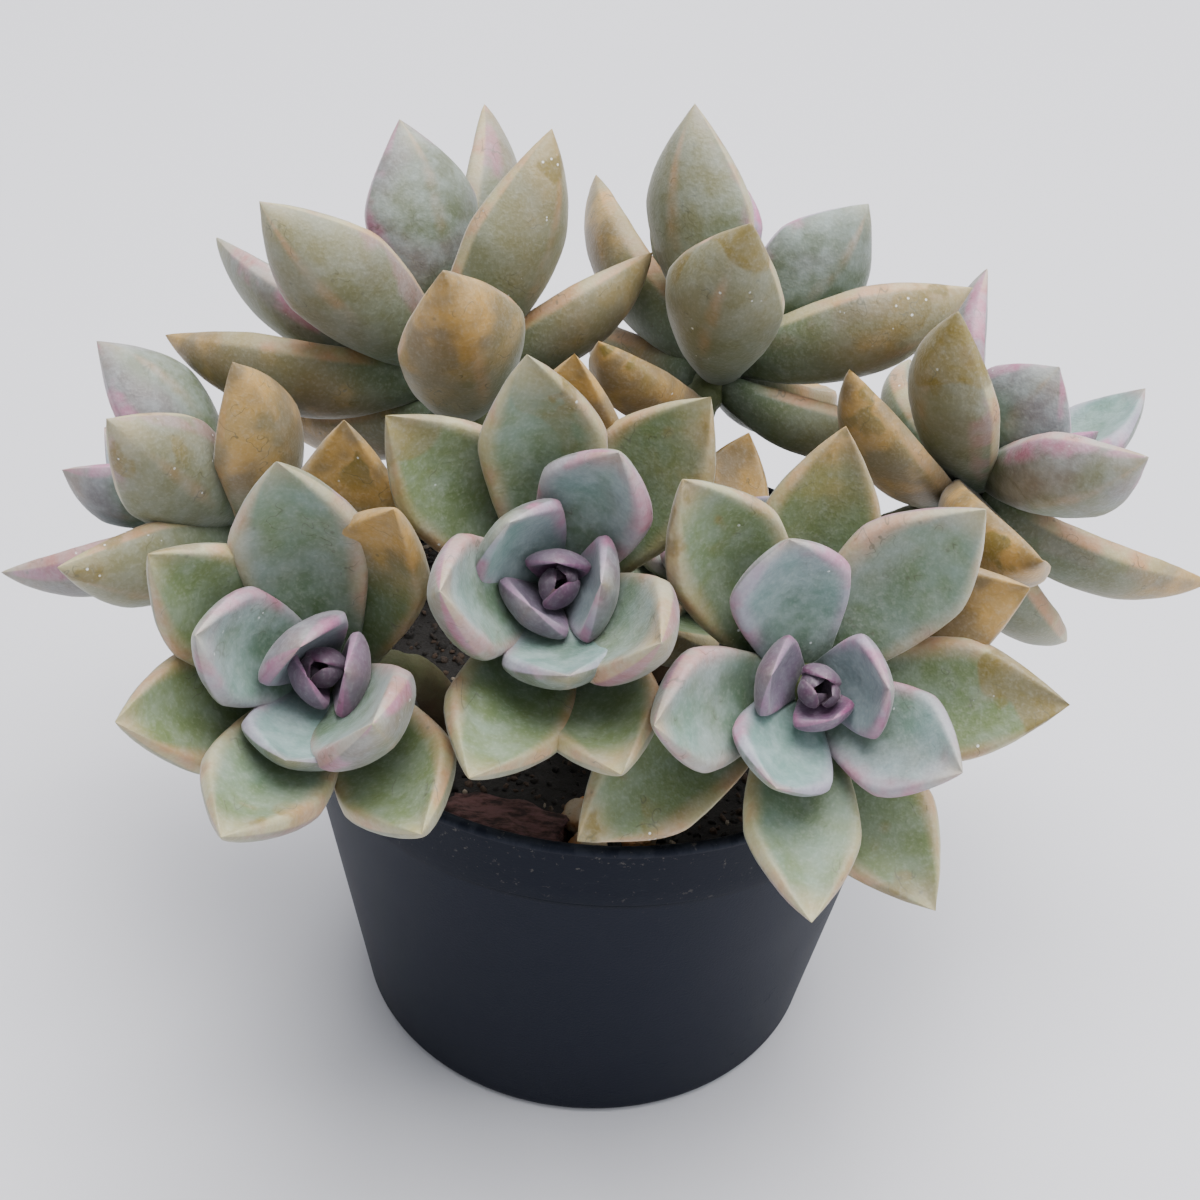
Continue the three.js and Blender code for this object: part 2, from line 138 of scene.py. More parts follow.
class Net:
    """A node tree that is filled by Python expressions."""

    def __init__(self, tree: bpy.types.NodeTree) -> None:
        """Wrap a tree."""
        self.tree = tree

    def node(
        self,
        kind: str,
        settings: dict[str, Any] | None = None,
        values: dict[Any, Any] | None = None,
    ) -> bpy.types.Node:
        """Add one node.

        Args:
            kind: The node's type.
            settings: Its own settings, set before its sockets.
            values: A number or a link for each socket, by name or place.

        Returns:
            The new node.
        """
        made = self.tree.nodes.new(kind)
        for name, setting in (settings or {}).items():
            setattr(made, name, setting)
        for key, value in (values or {}).items():
            self.feed(made.inputs[key], value)
        return made

    def feed(self, socket: bpy.types.NodeSocket, value: Any) -> None:
        """Give a socket a number or a link.

        Args:
            socket: The input socket.
            value: A Wire, an output socket or a plain value.
        """
        if isinstance(value, Wire):
            self.tree.links.new(value.socket, socket)
        elif isinstance(value, bpy.types.NodeSocket):
            self.tree.links.new(value, socket)
        else:
            socket.default_value = value

    def wire(
        self,
        kind: str,
        settings: dict[str, Any] | None = None,
        values: dict[Any, Any] | None = None,
        out: Any = 0,
    ) -> Wire:
        """Add one node and return one of its outputs."""
        return Wire(self, self.node(kind, settings, values).outputs[out])

    def math(self, operation: str, first: Any, second: Any = 0.0) -> Wire:
        """One Math node."""
        return self.wire("ShaderNodeMath", {"operation": operation}, {0: first, 1: second})

    def vector(self, operation: str, first: Any, second: Any) -> Wire:
        """One Vector Math node on two vectors."""
        return self.wire("ShaderNodeVectorMath", {"operation": operation}, {0: first, 1: second})

    def scaled(self, vector: Any, factor: Any) -> Wire:
        """A vector times a number."""
        return self.wire("ShaderNodeVectorMath", {"operation": "SCALE"}, {0: vector, "Scale": factor})

    def split(self, vector: Any) -> list[Wire]:
        """The three numbers of a vector."""
        return [Wire(self, out) for out in self.node("ShaderNodeSeparateXYZ", None, {0: vector}).outputs]

    def blend(self, factor: Any, first: Any, second: Any) -> Wire:
        """Mix two colours.

        Args:
            factor: Share of the second colour.
            first: A Wire or a colour.
            second: A Wire or a colour.

        Returns:
            The mixed colour.
        """
        tint = [(*c, 1.0) if isinstance(c, tuple) else c for c in (first, second)]
        settings = {"data_type": "RGBA", "clamp_factor": True}
        return self.wire("ShaderNodeMix", settings, {0: factor, 6: tint[0], 7: tint[1]}, 2)

    def noise(self, place: Any, scale: float, detail: float = 3.0, rough: float = 0.55) -> Wire:
        """Soft noise from 0 to 1 at a place."""
        values = {"Vector": place, "Scale": scale, "Detail": detail, "Roughness": rough}
        return self.wire("ShaderNodeTexNoise", {"normalize": True}, values)

    def cells(self, place: Any, scale: float) -> Wire:
        """Distance to the nearest of many loose dots."""
        values = {"Vector": place, "Scale": scale, "Randomness": 1.0}
        return self.wire("ShaderNodeTexVoronoi", {"feature": "F1"}, values, "Distance")


# Finishes


class Skin(Enum):
    """The surfaces of this plant and its pot."""

    LEAF = "leaf_skin"
    STEM = "stem_skin"
    POT = "pot_skin"
    MIX = "mix_skin"
    BARK = "bark_skin"
    PEBBLE = "pebble_skin"


class Finish:
    """A finish: makes one material on demand."""

    skin: Skin

    def material(self) -> bpy.types.Material:
        """Make the material once, and find it again after that.

        Returns:
            The finish as a material.
        """
        found = bpy.data.materials.get(self.skin.value)
        if found:
            return found
        made = bpy.data.materials.new(self.skin.value)
        made.use_nodes = True
        made.node_tree.nodes.clear()
        net = Net(made.node_tree)
        shader = net.node("ShaderNodeBsdfPrincipled")
        net.node("ShaderNodeOutputMaterial", None, {"Surface": shader.outputs[0]})
        self.paint(net, shader)
        return made

    def paint(self, net: Net, shader: bpy.types.Node) -> None:
        """Feed the shader's sockets."""
        raise NotImplementedError

    @staticmethod
    def coat(net: Net, shader: bpy.types.Node, colour: Wire, rough: Wire, normal: Wire) -> None:
        """Feed what every finish varies: colour, roughness and normal."""
        for name, value in (("Base Color", colour), ("Roughness", rough), ("Normal", normal)):
            net.feed(shader.inputs[name], value)


def attribute(net: Net, name: str) -> Wire:
    """Read a number stored on the mesh under a name."""
    settings = {"attribute_type": "GEOMETRY", "attribute_name": name}
    return net.wire("ShaderNodeAttribute", settings, None, "Fac")


def object_place(net: Net) -> Wire:
    """The place on the piece in its own coordinates."""
    return net.wire("ShaderNodeTexCoord", None, None, "Object")


def bumped(net: Net, height: Wire, strength: float, reach: float) -> Wire:
    """A normal bumped by a height from 0 to 1, which reaches so deep in metres."""
    values = {"Height": height, "Strength": strength, "Distance": reach}
    return net.wire("ShaderNodeBump", None, values, "Normal")


class LeafSigns:
    """What the leaf skin goes by: a leaf's stored numbers, its noises and its zones."""

    soft_scale: float = 60.0
    cloud_scale: float = 150.0
    powder_scale: float = 260.0
    grain_scale: float = 1700.0

    def __init__(self, net: Net) -> None:
        """Read the stored numbers and work out the zones.

        Args:
            net: The net of the leaf material.
        """
        self.place = object_place(net)
        self.along = attribute(net, "leaf_t")
        self.across = abs(attribute(net, "leaf_v"))
        self.facing = attribute(net, "leaf_up")
        self.age = attribute(net, "leaf_age")
        self.seed = attribute(net, "leaf_seed")
        self.sun = attribute(net, "leaf_sun")
        turned = attribute(net, "leaf_amber")
        self.gold = turned.most(0.0)
        self.stained = (-turned).ramp(0.1, 0.9)
        apart = {0: self.seed * 7.0, 1: self.seed * 3.0, 2: self.seed * 5.0}
        self.shift = net.vector("ADD", self.place, net.wire("ShaderNodeCombineXYZ", None, apart))
        self.soft = net.noise(self.shift, self.soft_scale, 1.5)
        self.cloud = net.noise(self.shift, self.cloud_scale, 2.0)
        self.grain = net.noise(self.place, self.grain_scale, 1.0, 0.7)
        powder = net.noise(self.shift, self.powder_scale, 2.0, 0.65).ramp(0.3, 0.75)
        self.powder = powder * (1.0 - self.gold * 0.7)
        self.young = 1.0 - self.age.ramp(0.14, 0.34)
        self.wander = (self.soft - 0.5) * 0.5
        self.side = (self.across + self.wander).ramp(0.60, 1.0)
        self.tip = (self.along + self.wander * 0.5).ramp(0.80, 1.0)
        blush = (self.cloud + (self.soft - 0.5) * 0.6).ramp(0.42, 0.58)
        self.blush = blush * (1.0 - self.age.ramp(0.5, 0.8))
        flush = (self.soft + self.across * 0.12).ramp(0.46, 0.64)
        self.flush = flush * (1.0 - self.age.ramp(0.45, 0.75))


@dataclass(frozen=True)
class LeafFinish(Finish):
    """Powdery leaf skin whose colour follows age, side, margin and sun, with painted shade at each leaf's
    foot.
    """

    skin: Skin = Skin.LEAF
    blue_green: Colour = (0.148, 0.262, 0.242)
    sage: Colour = (0.130, 0.172, 0.064)
    leaf_green: Colour = (0.056, 0.098, 0.034)
    # Painted shade: this dark green darkens the feet of the older leaves, deep in the crown.
    foot_shade: Colour = (0.030, 0.055, 0.018)
    mauve: Colour = (0.160, 0.058, 0.148)
    plum: Colour = (0.052, 0.016, 0.040)
    # Painted shade: this near black darkens the feet of the bud leaves, deep in the crown.
    heart: Colour = (0.022, 0.016, 0.018)
    magenta: Colour = (0.285, 0.062, 0.185)
    lilac: Colour = (0.39, 0.29, 0.41)
    pink: Colour = (0.50, 0.100, 0.25)
    cream: Colour = (0.48, 0.39, 0.19)
    peach: Colour = (0.52, 0.26, 0.125)
    back_young: Colour = (0.105, 0.138, 0.112)
    back_mauve: Colour = (0.185, 0.140, 0.190)
    back_old: Colour = (0.200, 0.180, 0.088)
    back_green: Colour = (0.088, 0.125, 0.055)
    amber: Colour = (0.43, 0.245, 0.052)
    tan: Colour = (0.205, 0.130, 0.042)
    scar: Colour = (0.17, 0.118, 0.010)
    scratch: Colour = (0.055, 0.050, 0.018)
    speck: Colour = (0.85, 0.88, 0.88)
    bloom: Colour = (0.45, 0.53, 0.56)
    pale_grain: Colour = (0.60, 0.62, 0.58)
    dark_grain: Colour = (0.05, 0.06, 0.03)
    line_scale: float = 210.0
    dot_scale: float = 300.0
    speck_scale: float = 620.0

    def paint(self, net: Net, shader: bpy.types.Node) -> None:
        """Colour the skin by the leaf's own stored numbers.

        Args:
            net: The net of the material.
            shader: Its Principled node.
        """
        leaf = LeafSigns(net)
        colour = net.blend(leaf.facing.ramp(-0.10, 0.16), self.back(net, leaf), self.top(net, leaf))
        colour = self.wear(net, leaf, self.ripen(net, leaf, colour))
        dusted = 0.16 + 0.16 * leaf.age.ramp(0.18, 0.3) * (1.0 - leaf.age.ramp(0.45, 0.65))
        colour = net.blend(leaf.powder * dusted + 0.02, colour, self.bloom)
        colour = net.blend(leaf.grain.ramp(0.45, 0.8) * 0.10, colour, self.pale_grain)
        colour = net.blend((1.0 - leaf.grain).ramp(0.48, 0.78) * 0.10, colour, self.dark_grain)
        rough = 0.44 + 0.16 * leaf.powder + 0.06 * leaf.grain
        dent = leaf.soft * 0.6 + leaf.grain * 0.2
        self.coat(net, shader, colour, rough, bumped(net, dent, 0.6, 0.0006))
        shader.inputs["Sheen Weight"].default_value = 0.20
        shader.inputs["Sheen Roughness"].default_value = 0.35
        shader.inputs["Specular IOR Level"].default_value = 0.45

    def top(self, net: Net, leaf: LeafSigns) -> Wire:
        """The upper face: blue-green to sage, greener at the base, with a tinted rim.

        Args:
            net: The net of the leaf material.
            leaf: What the skin goes by.

        Returns:
            The colour.
        """
        mellow = (leaf.age + (leaf.cloud - 0.5) * 0.4).ramp(0.34, 0.78)
        top = net.blend(mellow, self.blue_green, self.sage)
        top = net.blend(leaf.flush * 0.25 * (1.0 - leaf.age.ramp(0.6, 0.9)), top, self.lilac)
        fresh = leaf.along + leaf.across * 0.35 + (leaf.soft - 0.5) * 0.4
        fresh = (1.0 - fresh.ramp(0.25, 0.95)) * leaf.age.ramp(0.26, 0.45)
        top = net.blend(fresh * 0.85, top, self.leaf_green)
        top = net.blend(leaf.young * 0.95, top, self.mauve)
        warmth = (leaf.cloud + leaf.age * 0.2 - 0.1).ramp(0.46, 0.68)
        warm = net.blend(warmth, self.cream, self.peach)
        cool = net.blend(leaf.blush * leaf.along.ramp(0.2, 0.5), self.lilac, self.pink)
        rim = net.blend(leaf.age.ramp(0.40, 0.66), cool, warm)
        rim = net.blend(leaf.tip * (1.0 - leaf.young) * 0.6, rim, self.cream)
        rim = net.blend(leaf.young * 0.75, rim, self.magenta)
        margin = leaf.side.most(leaf.tip) * leaf.along.ramp(0.10, 0.40)
        return net.blend(margin * (0.68 + 0.25 * leaf.sun), top, rim)

    def back(self, net: Net, leaf: LeafSigns) -> Wire:
        """The under face: green at the base, paler to the tip, with a warm keel.

        Args:
            net: The net of the leaf material.
            leaf: What the skin goes by.

        Returns:
            The colour.
        """
        back = net.blend(leaf.age.ramp(0.3, 0.7), self.back_young, self.back_old)
        green = (1.0 - (leaf.along + leaf.wander).ramp(0.15, 0.75)) * 0.85 + (1.0 - leaf.sun) * 0.35
        back = net.blend(green, back, self.back_green)
        ridge = (1.0 - leaf.across.ramp(0.0, 0.20)) * leaf.along.ramp(0.35, 0.6)
        keel = ridge * (0.15 + 0.4 * leaf.sun)
        back = net.blend(keel * leaf.cloud.ramp(0.3, 0.7), back, self.peach)
        back = net.blend(leaf.tip * 0.45, back, self.cream)
        back = net.blend(leaf.flush * 0.55, back, self.back_mauve)
        back = net.blend(leaf.side.ramp(0.5, 1.0) * leaf.blush * 0.5, back, self.pink)
        return net.blend(leaf.young * 0.8, back, self.mauve)

    def ripen(self, net: Net, leaf: LeafSigns, colour: Wire) -> Wire:
        """Darken the bud, turn old leaves amber and paint shade, dark green to near black, at every leaf's
        foot.

        Args:
            net: The net of the leaf material.
            leaf: What the skin goes by.
            colour: The colour so far.

        Returns:
            The colour.
        """
        plum = 1.0 - (leaf.age + leaf.tip * 0.05).ramp(0.0, 0.22)
        colour = net.blend(plum * 0.8, colour, self.plum)
        golden = (leaf.cloud + (leaf.along - 0.7) * 0.3).ramp(0.40, 0.66)
        ripe = net.blend(golden, self.tan, self.amber)
        turned = leaf.gold * 1.2 + (leaf.soft - 0.5) * 1.3 + (leaf.along - 0.6) * 0.6
        colour = net.blend(turned.ramp(0.30, 1.05), colour, ripe)
        # Painted shade: the foot of every leaf is darkened for the shade deep in the crown, near black in
        # the bud.
        deep = (1.0 - leaf.along.ramp(0.02, 0.32)) * (1.0 - leaf.gold * 0.4)
        return net.blend(deep * 0.85, colour, net.blend(leaf.young, self.foot_shade, self.heart))

    def wear(self, net: Net, leaf: LeafSigns, colour: Wire) -> Wire:
        """Add yellowed patches, scratches, dark flecks and white specks.

        Args:
            net: The net of the leaf material.
            leaf: What the skin goes by.
            colour: The colour so far.

        Returns:
            The colour.
        """
        patch = (leaf.cloud * 0.55 + leaf.soft * 0.45).ramp(0.54, 0.58) * leaf.along.ramp(0.60, 0.85)
        patch = patch * leaf.age.ramp(0.45, 0.7) * leaf.seed.ramp(0.35, 0.6)
        stain = leaf.stained * (leaf.along + (leaf.soft - 0.5) * 1.2).ramp(0.80, 0.84)
        colour = net.blend(patch.most(stain) * 0.88, colour, self.scar)
        line_at = net.vector("MULTIPLY", leaf.shift, (1.0, 0.35, 1.0))
        lines = abs(net.noise(line_at, self.line_scale, 2.0, 0.6) - 0.5)
        scratch = (1.0 - lines.ramp(0.0, 0.012)) * leaf.cloud.ramp(0.55, 0.62)
        colour = net.blend(scratch * leaf.age.ramp(0.30, 0.55) * 0.6, colour, self.scratch)
        dots = 1.0 - net.cells(leaf.shift, self.dot_scale).ramp(0.05, 0.13)
        colour = net.blend(dots * leaf.cloud.ramp(0.48, 0.56) * 0.45, colour, self.scratch)
        bits = 1.0 - net.cells(leaf.place, self.speck_scale).ramp(0.10, 0.16)
        speck = bits * leaf.cloud.ramp(0.58, 0.63) * leaf.seed.ramp(0.55, 0.65)
        return net.blend(speck * 0.8, colour, self.speck)


@dataclass(frozen=True)
class StemFinish(Finish):
    """Woody green stem, browner towards the mix."""

    skin: Skin = Skin.STEM
    green: Colour = (0.085, 0.105, 0.040)
    wood: Colour = (0.085, 0.050, 0.026)

    def paint(self, net: Net, shader: bpy.types.Node) -> None:
        """Brown the stem towards the mix.

        Args:
            net: The net of the material.
            shader: Its Principled node.
        """
        place = object_place(net)
        height = net.split(place)[2]
        patch = net.noise(place, 350.0, 5.0, 0.7)
        woody = 1.0 - (height + (patch - 0.5) * 0.02).ramp(0.066, 0.092)
        colour = net.blend(woody, self.green, self.wood)
        self.coat(net, shader, colour, 0.6 + 0.3 * woody, bumped(net, patch, 0.7, 0.0008))


@dataclass(frozen=True)
class PotFinish(Finish):
    """Charcoal growing-pot plastic with faint scuffs and dust, a painted rim highlight, and painted light
    and shadow at the band's step.
    """

    skin: Skin = Skin.POT
    body: Colour = (0.0022, 0.0030, 0.0072)
    # This tone serves the real scuffs and also a painted highlight on the rim top.
    scuff_and_rim_highlight: Colour = (0.030, 0.033, 0.042)
    dust: Colour = (0.14, 0.125, 0.105)
    broad_tone: Colour = (0.0042, 0.0054, 0.0105)
    # Painted light: this tone lightens the wall below the band's step.
    lower_wall_light: Colour = (0.0062, 0.0078, 0.0150)
    # Painted shadow: this near black darkens a thin line under the band's step.
    step_shadow_tone: Colour = (0.0003, 0.0004, 0.0006)
    seam_z: float = 0.0586
    step_shadow_half: float = 0.0009
    lip_z: float = 0.0695

    def paint(self, net: Net, shader: bpy.types.Node) -> None:
        """Scuff and dust the plastic, paint a highlight on the rim top, paint the wall below the band
        lighter, and paint a shadow line under the band's step.

        Args:
            net: The net of the material.
            shader: Its Principled node.
        """
        place = object_place(net)
        height = net.split(place)[2]
        broad = net.noise(place, 22.0, 3.0)
        streak_at = net.vector("MULTIPLY", place, (1.0, 1.0, 0.16))
        streak = net.noise(streak_at, 420.0, 5.0, 0.65)
        scratch_at = net.vector("MULTIPLY", place, (0.2, 0.2, 1.0))
        scratch = net.noise(scratch_at, 1500.0, 3.0, 0.5)
        scuffs = (streak * 0.5 + scratch * 0.5).ramp(0.56, 0.72) * broad.ramp(0.4, 0.7)
        crumbs = net.noise(place, 900.0, 4.0, 0.7).ramp(0.61, 0.68) * height.ramp(0.05, 0.07)
        colour = net.blend(broad * 0.25, self.body, self.broad_tone)
        colour = net.blend(scuffs * 0.60, colour, self.scuff_and_rim_highlight)
        colour = net.blend(crumbs * 0.40, colour, self.dust)
        fine = net.noise(place, 2600.0, 3.0, 0.6)
        # Painted highlight: the rim top is lightened with the scuff tone, broken up by the streaks.
        lip = height.ramp(self.lip_z, self.lip_z + 0.001) * (0.3 + 0.7 * streak.ramp(0.4, 0.6))
        colour = net.blend(lip * 0.5, colour, self.scuff_and_rim_highlight)
        # Painted light: the wall below the band's step is painted lighter than the band, so the step reads.
        wall = 1.0 - height.ramp(self.seam_z - 0.0003, self.seam_z + 0.0002)
        colour = net.blend(wall * 0.5, colour, self.lower_wall_light)
        # Painted shadow: a dark line under the band's step.
        step_shadow = 1.0 - (abs(height - self.seam_z) / self.step_shadow_half).clamp()
        colour = net.blend(step_shadow * 0.9, colour, self.step_shadow_tone)
        rough = 0.40 + 0.14 * broad + 0.18 * scuffs + 0.05 * fine
        self.coat(net, shader, colour, rough, bumped(net, fine * 0.5 + scuffs * 0.5, 0.22, 0.00025))
        shader.inputs["Specular IOR Level"].default_value = 0.13
        shader.inputs["Specular Tint"].default_value = (0.62, 0.76, 1.0, 1.0)


@dataclass(frozen=True)
class MixFinish(Finish):
    """Dark damp growing mix with brown and pale bits."""

    skin: Skin = Skin.MIX
    damp: Colour = (0.009, 0.0075, 0.0065)
    brown: Colour = (0.050, 0.030, 0.019)
    grit: Colour = (0.23, 0.19, 0.145)

    def paint(self, net: Net, shader: bpy.types.Node) -> None:
        """Turn crumbs from dark to brown, and a few to pale grit.

        Args:
            net: The net of the material.
            shader: Its Principled node.
        """
        place = object_place(net)
        tone = attribute(net, "crumb_tone")
        patch = net.noise(place, 700.0, 4.0, 0.7)
        colour = net.blend((tone + (patch - 0.5) * 0.5).ramp(0.35, 0.85), self.damp, self.brown)
        colour = net.blend(tone.ramp(0.955, 0.975), colour, self.grit)
        self.coat(net, shader, colour, 0.82 + 0.15 * patch, bumped(net, patch, 0.9, 0.0008))


@dataclass(frozen=True)
class BarkFinish(Finish):
    """Reddish flaky bark."""

    skin: Skin = Skin.BARK
    light: Colour = (0.17, 0.080, 0.078)
    dark: Colour = (0.030, 0.014, 0.012)

    def paint(self, net: Net, shader: bpy.types.Node) -> None:
        """Draw out the grain along the flake.

        Args:
            net: The net of the material.
            shader: Its Principled node.
        """
        place = object_place(net)
        grain_at = net.vector("MULTIPLY", place, (0.35, 1.0, 1.6))
        grain = net.noise(grain_at, 900.0, 5.0, 0.65)
        colour = net.blend(grain.ramp(0.35, 0.65), self.dark, self.light)
        self.coat(net, shader, colour, 0.75 + 0.2 * grain, bumped(net, grain, 0.9, 0.001))


@dataclass(frozen=True)
class PebbleFinish(Finish):
    """Rough grit from orange-brown to beige."""

    skin: Skin = Skin.PEBBLE
    orange: Colour = (0.40, 0.19, 0.075)
    beige: Colour = (0.42, 0.34, 0.24)
    pit: Colour = (0.10, 0.06, 0.035)

    def paint(self, net: Net, shader: bpy.types.Node) -> None:
        """Mottle the grit and darken its pits.

        Args:
            net: The net of the material.
            shader: Its Principled node.
        """
        place = object_place(net)
        broad = net.noise(place, 160.0, 2.0)
        pits = net.noise(place, 1500.0, 4.0, 0.7)
        colour = net.blend(broad.ramp(0.42, 0.58), self.orange, self.beige)
        colour = net.blend(pits.ramp(0.55, 0.75) * 0.5, colour, self.pit)
        self.coat(net, shader, colour, 0.72 + 0.2 * pits, bumped(net, pits, 0.8, 0.0006))


# Meshes


def put(name: str, data: Any) -> bpy.types.Object:
    """Stand a mesh, lamp or camera in the scene as a new object.

    Args:
        name: The object's name.
        data: What it shows.

    Returns:
        The new object.
    """
    made = bpy.data.objects.new(name, data)
    bpy.context.scene.collection.objects.link(made)
    return made


def new_piece(name: str, mesh: bpy.types.Mesh, finish: Finish) -> bpy.types.Object:
    """Put a mesh in the scene as a piece of the plant.

    Args:
        name: The piece's name.
        mesh: Its mesh, already in place.
        finish: Its finish.

    Returns:
        The new object.
    """
    piece = put(name, mesh)
    mesh.materials.clear()
    mesh.materials.append(finish.material())
    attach(piece, "root")
    LOG.info("%s: %d faces", name, len(mesh.polygons))
    return piece


def smooth_mesh(name: str, form: bmesh.types.BMesh) -> bpy.types.Mesh:
    """Turn a form's faces outwards and keep it as a smooth mesh.

    Args:
        name: The mesh's name.
        form: The form, which is used up.

    Returns:
        The mesh.
    """
    bmesh.ops.recalc_face_normals(form, faces=form.faces)
    mesh = bpy.data.meshes.new(name)
    form.to_mesh(mesh)
    form.free()
    mesh.shade_smooth()
    return mesh


def lathe_mesh(name: str, profile: Sequence[tuple[float, float]], sides: int) -> bpy.types.Mesh:
    """Turn a closed profile, which starts and ends on the axis, round Z.

    Args:
        name: The mesh's name.
        profile: Radius and height of each point, in millimetres.
        sides: Steps round the axis.

    Returns:
        A closed smooth mesh.
    """
    form = bmesh.new()
    rows: list[list[bmesh.types.BMVert]] = []
    for r, z in profile:
        if r < 1e-6:
            rows.append([form.verts.new((0.0, 0.0, z * MM))])
            continue
        turn = [2 * math.pi * i / sides for i in range(sides)]
        rows.append([form.verts.new((r * MM * math.cos(a), r * MM * math.sin(a), z * MM)) for a in turn])
    for low, high in zip(rows, rows[1:]):
        for i in range(sides):
            j = (i + 1) % sides
            ring = [low[i % len(low)], low[j % len(low)], high[j % len(high)], high[i % len(high)]]
            corners = list(dict.fromkeys(ring))
            if len(corners) > 2:
                form.faces.new(corners)
    return smooth_mesh(name, form)


def tube_mesh(
    name: str, line: Callable[[float], np.ndarray], radius: Callable[[float], float],
    steps: int, sides: int,
) -> bpy.types.Mesh:
    """A closed round bar along a line.

    Args:
        name: The mesh's name.
        line: Place on the line for a share from 0 to 1, in millimetres.
        radius: Radius for the same share, in millimetres.
        steps: Rings along the line.
        sides: Points round it.

    Returns:
        A closed smooth mesh.
    """
    spots = np.array([line(i / (steps - 1)) for i in range(steps)])
    ways = np.gradient(spots, axis=0)
    ways /= np.linalg.norm(ways, axis=1)[:, None]
    side = np.cross(ways[0], (0.0, 1.0, 0.0))
    form = bmesh.new()
    verts: list[bmesh.types.BMVert] = []
    for i in range(steps):
        side = side - ways[i] * (side @ ways[i])
        side /= np.linalg.norm(side)
        other = np.cross(ways[i], side)
        r = radius(i / (steps - 1))
        for j in range(sides):
            a = 2 * math.pi * j / sides
            verts.append(form.verts.new((spots[i] + r * (math.cos(a) * side + math.sin(a) * other)) * MM))
    for i in range(0, (steps - 1) * sides, sides):
        for j in range(sides):
            k = (j + 1) % sides
            form.faces.new([verts[i + j], verts[i + k], verts[i + sides + k], verts[i + sides + j]])
    form.faces.new(verts[sides - 1::-1])
    form.faces.new(verts[-sides:])
    return smooth_mesh(name, form)


def plain_mesh(name: str, carrier: bpy.types.Object) -> bpy.types.Mesh:
    """Keep what an object's modifiers make, and remove the object with them.

    Args:
        name: The new mesh's name.
        carrier: The object.

    Returns:
        The finished mesh.
    """
    graph = bpy.context.evaluated_depsgraph_get()
    graph.update()
    mesh = bpy.data.meshes.new_from_object(
        carrier.evaluated_get(graph), preserve_all_data_layers=True, depsgraph=graph)
    mesh.name = name
    bpy.data.objects.remove(carrier, do_unlink=True)
    return mesh


def grown(name: str, seed_mesh: bpy.types.Mesh, tree: bpy.types.NodeTree,
          inputs: dict[str, Any]) -> bpy.types.Mesh:
    """Run a geometry tree on a mesh and return the plain result.

    Args:
        name: The new mesh's name.
        seed_mesh: The mesh that the tree starts from.
        tree: The geometry tree.
        inputs: Values of the tree's named inputs.

    Returns:
        The finished mesh.
    """
    carrier = put(name + "_seed", seed_mesh)
    modifier = carrier.modifiers.new("grow", "NODES")
    modifier.node_group = tree
    for item in tree.interface.items_tree:
        if item.item_type == "SOCKET" and item.in_out == "INPUT" and item.name in inputs:
            modifier[item.identifier] = inputs[item.name]
    return plain_mesh(name, carrier)


def new_tree(name: str, inputs: dict[str, str]) -> tuple[Net, dict[str, Wire]]:
    """Start a geometry tree.

    Args:
        name: The tree's name.
        inputs: Name and kind of each of its inputs, besides the geometry.

    Returns:
        The tree's net, and what it is given by name.
    """
    tree = bpy.data.node_groups.new(name, "GeometryNodeTree")
    for way in ("INPUT", "OUTPUT"):
        tree.interface.new_socket("Geometry", in_out=way, socket_type="NodeSocketGeometry")
    for label, kind in inputs.items():
        tree.interface.new_socket(label, in_out="INPUT", socket_type="NodeSocket" + kind)
    net = Net(tree)
    given = net.node("NodeGroupInput")
    return net, {label: Wire(net, given.outputs[label]) for label in ("Geometry", *inputs)}


def end_tree(net: Net, shape: Wire, skin: Wire) -> bpy.types.NodeTree:
    """Smooth, realise and dress a tree's shape, and send it out.

    Args:
        net: The tree's net.
        shape: The geometry.
        skin: The material.

    Returns:
        The finished tree.
    """
    shape = net.wire("GeometryNodeSetShadeSmooth", None, {"Geometry": shape})
    shape = net.wire("GeometryNodeRealizeInstances", None, {"Geometry": shape})
    shape = net.wire("GeometryNodeSetMaterial", None, {"Geometry": shape, "Material": skin})
    net.node("NodeGroupOutput", None, {"Geometry": shape})
    return net.tree


def stored(net: Net, shape: Wire, name: str, value: Any) -> Wire:
    """Store a number on every point of a tree's shape.

    Args:
        net: The tree's net.
        shape: The geometry.
        name: The attribute's name.
        value: The number.

    Returns:
        The geometry with its attribute.
    """
    settings = {"data_type": "FLOAT", "domain": "POINT"}
    values = {"Geometry": shape, "Name": name, "Value": value}
    return net.wire("GeometryNodeStoreNamedAttribute", settings, values)


# Leafy stems


@dataclass
class Leaf:
    """One leaf: how it is placed on its crown and how big it is."""

    head: "Head"
    k: int
    turn: float
    opening: float
    length: float
    width: float
    thick: float
    bow: float
    depth: float
    offset: float
    seed: float

    def plump(self) -> float:
        """How much wider the fine leaf is than the fixed one, for the folded young leaves."""
        return 1.0 + 0.30 * min(1.0, self.k / 2) * max(0.0, 1.0 - max(0, self.k - 4) / 3)

    def axes(self) -> tuple[np.ndarray, np.ndarray, np.ndarray, np.ndarray]:
        """Where the leaf grows from, and its directions.

        Returns:
            The root, then the ways along the leaf, out of its upper face and across it.
        """
        side, up, out = self.head.frame()
        away = math.cos(self.turn) * side + math.sin(self.turn) * up
        along = math.sin(self.opening) * away + math.cos(self.opening) * out
        face = -math.cos(self.opening) * away + math.sin(self.opening) * out
        root = np.array(self.head.at) - self.depth * out + self.offset * away
        return root, along, face, np.cross(along, face)


def growth(k: float) -> float:
    """Share of the full leaf length reached by leaf k, from the youngest."""
    u = min(k / 11, 1.0)
    return 0.15 + 0.85 * (u * u * (3 - 2 * u)) ** 0.85


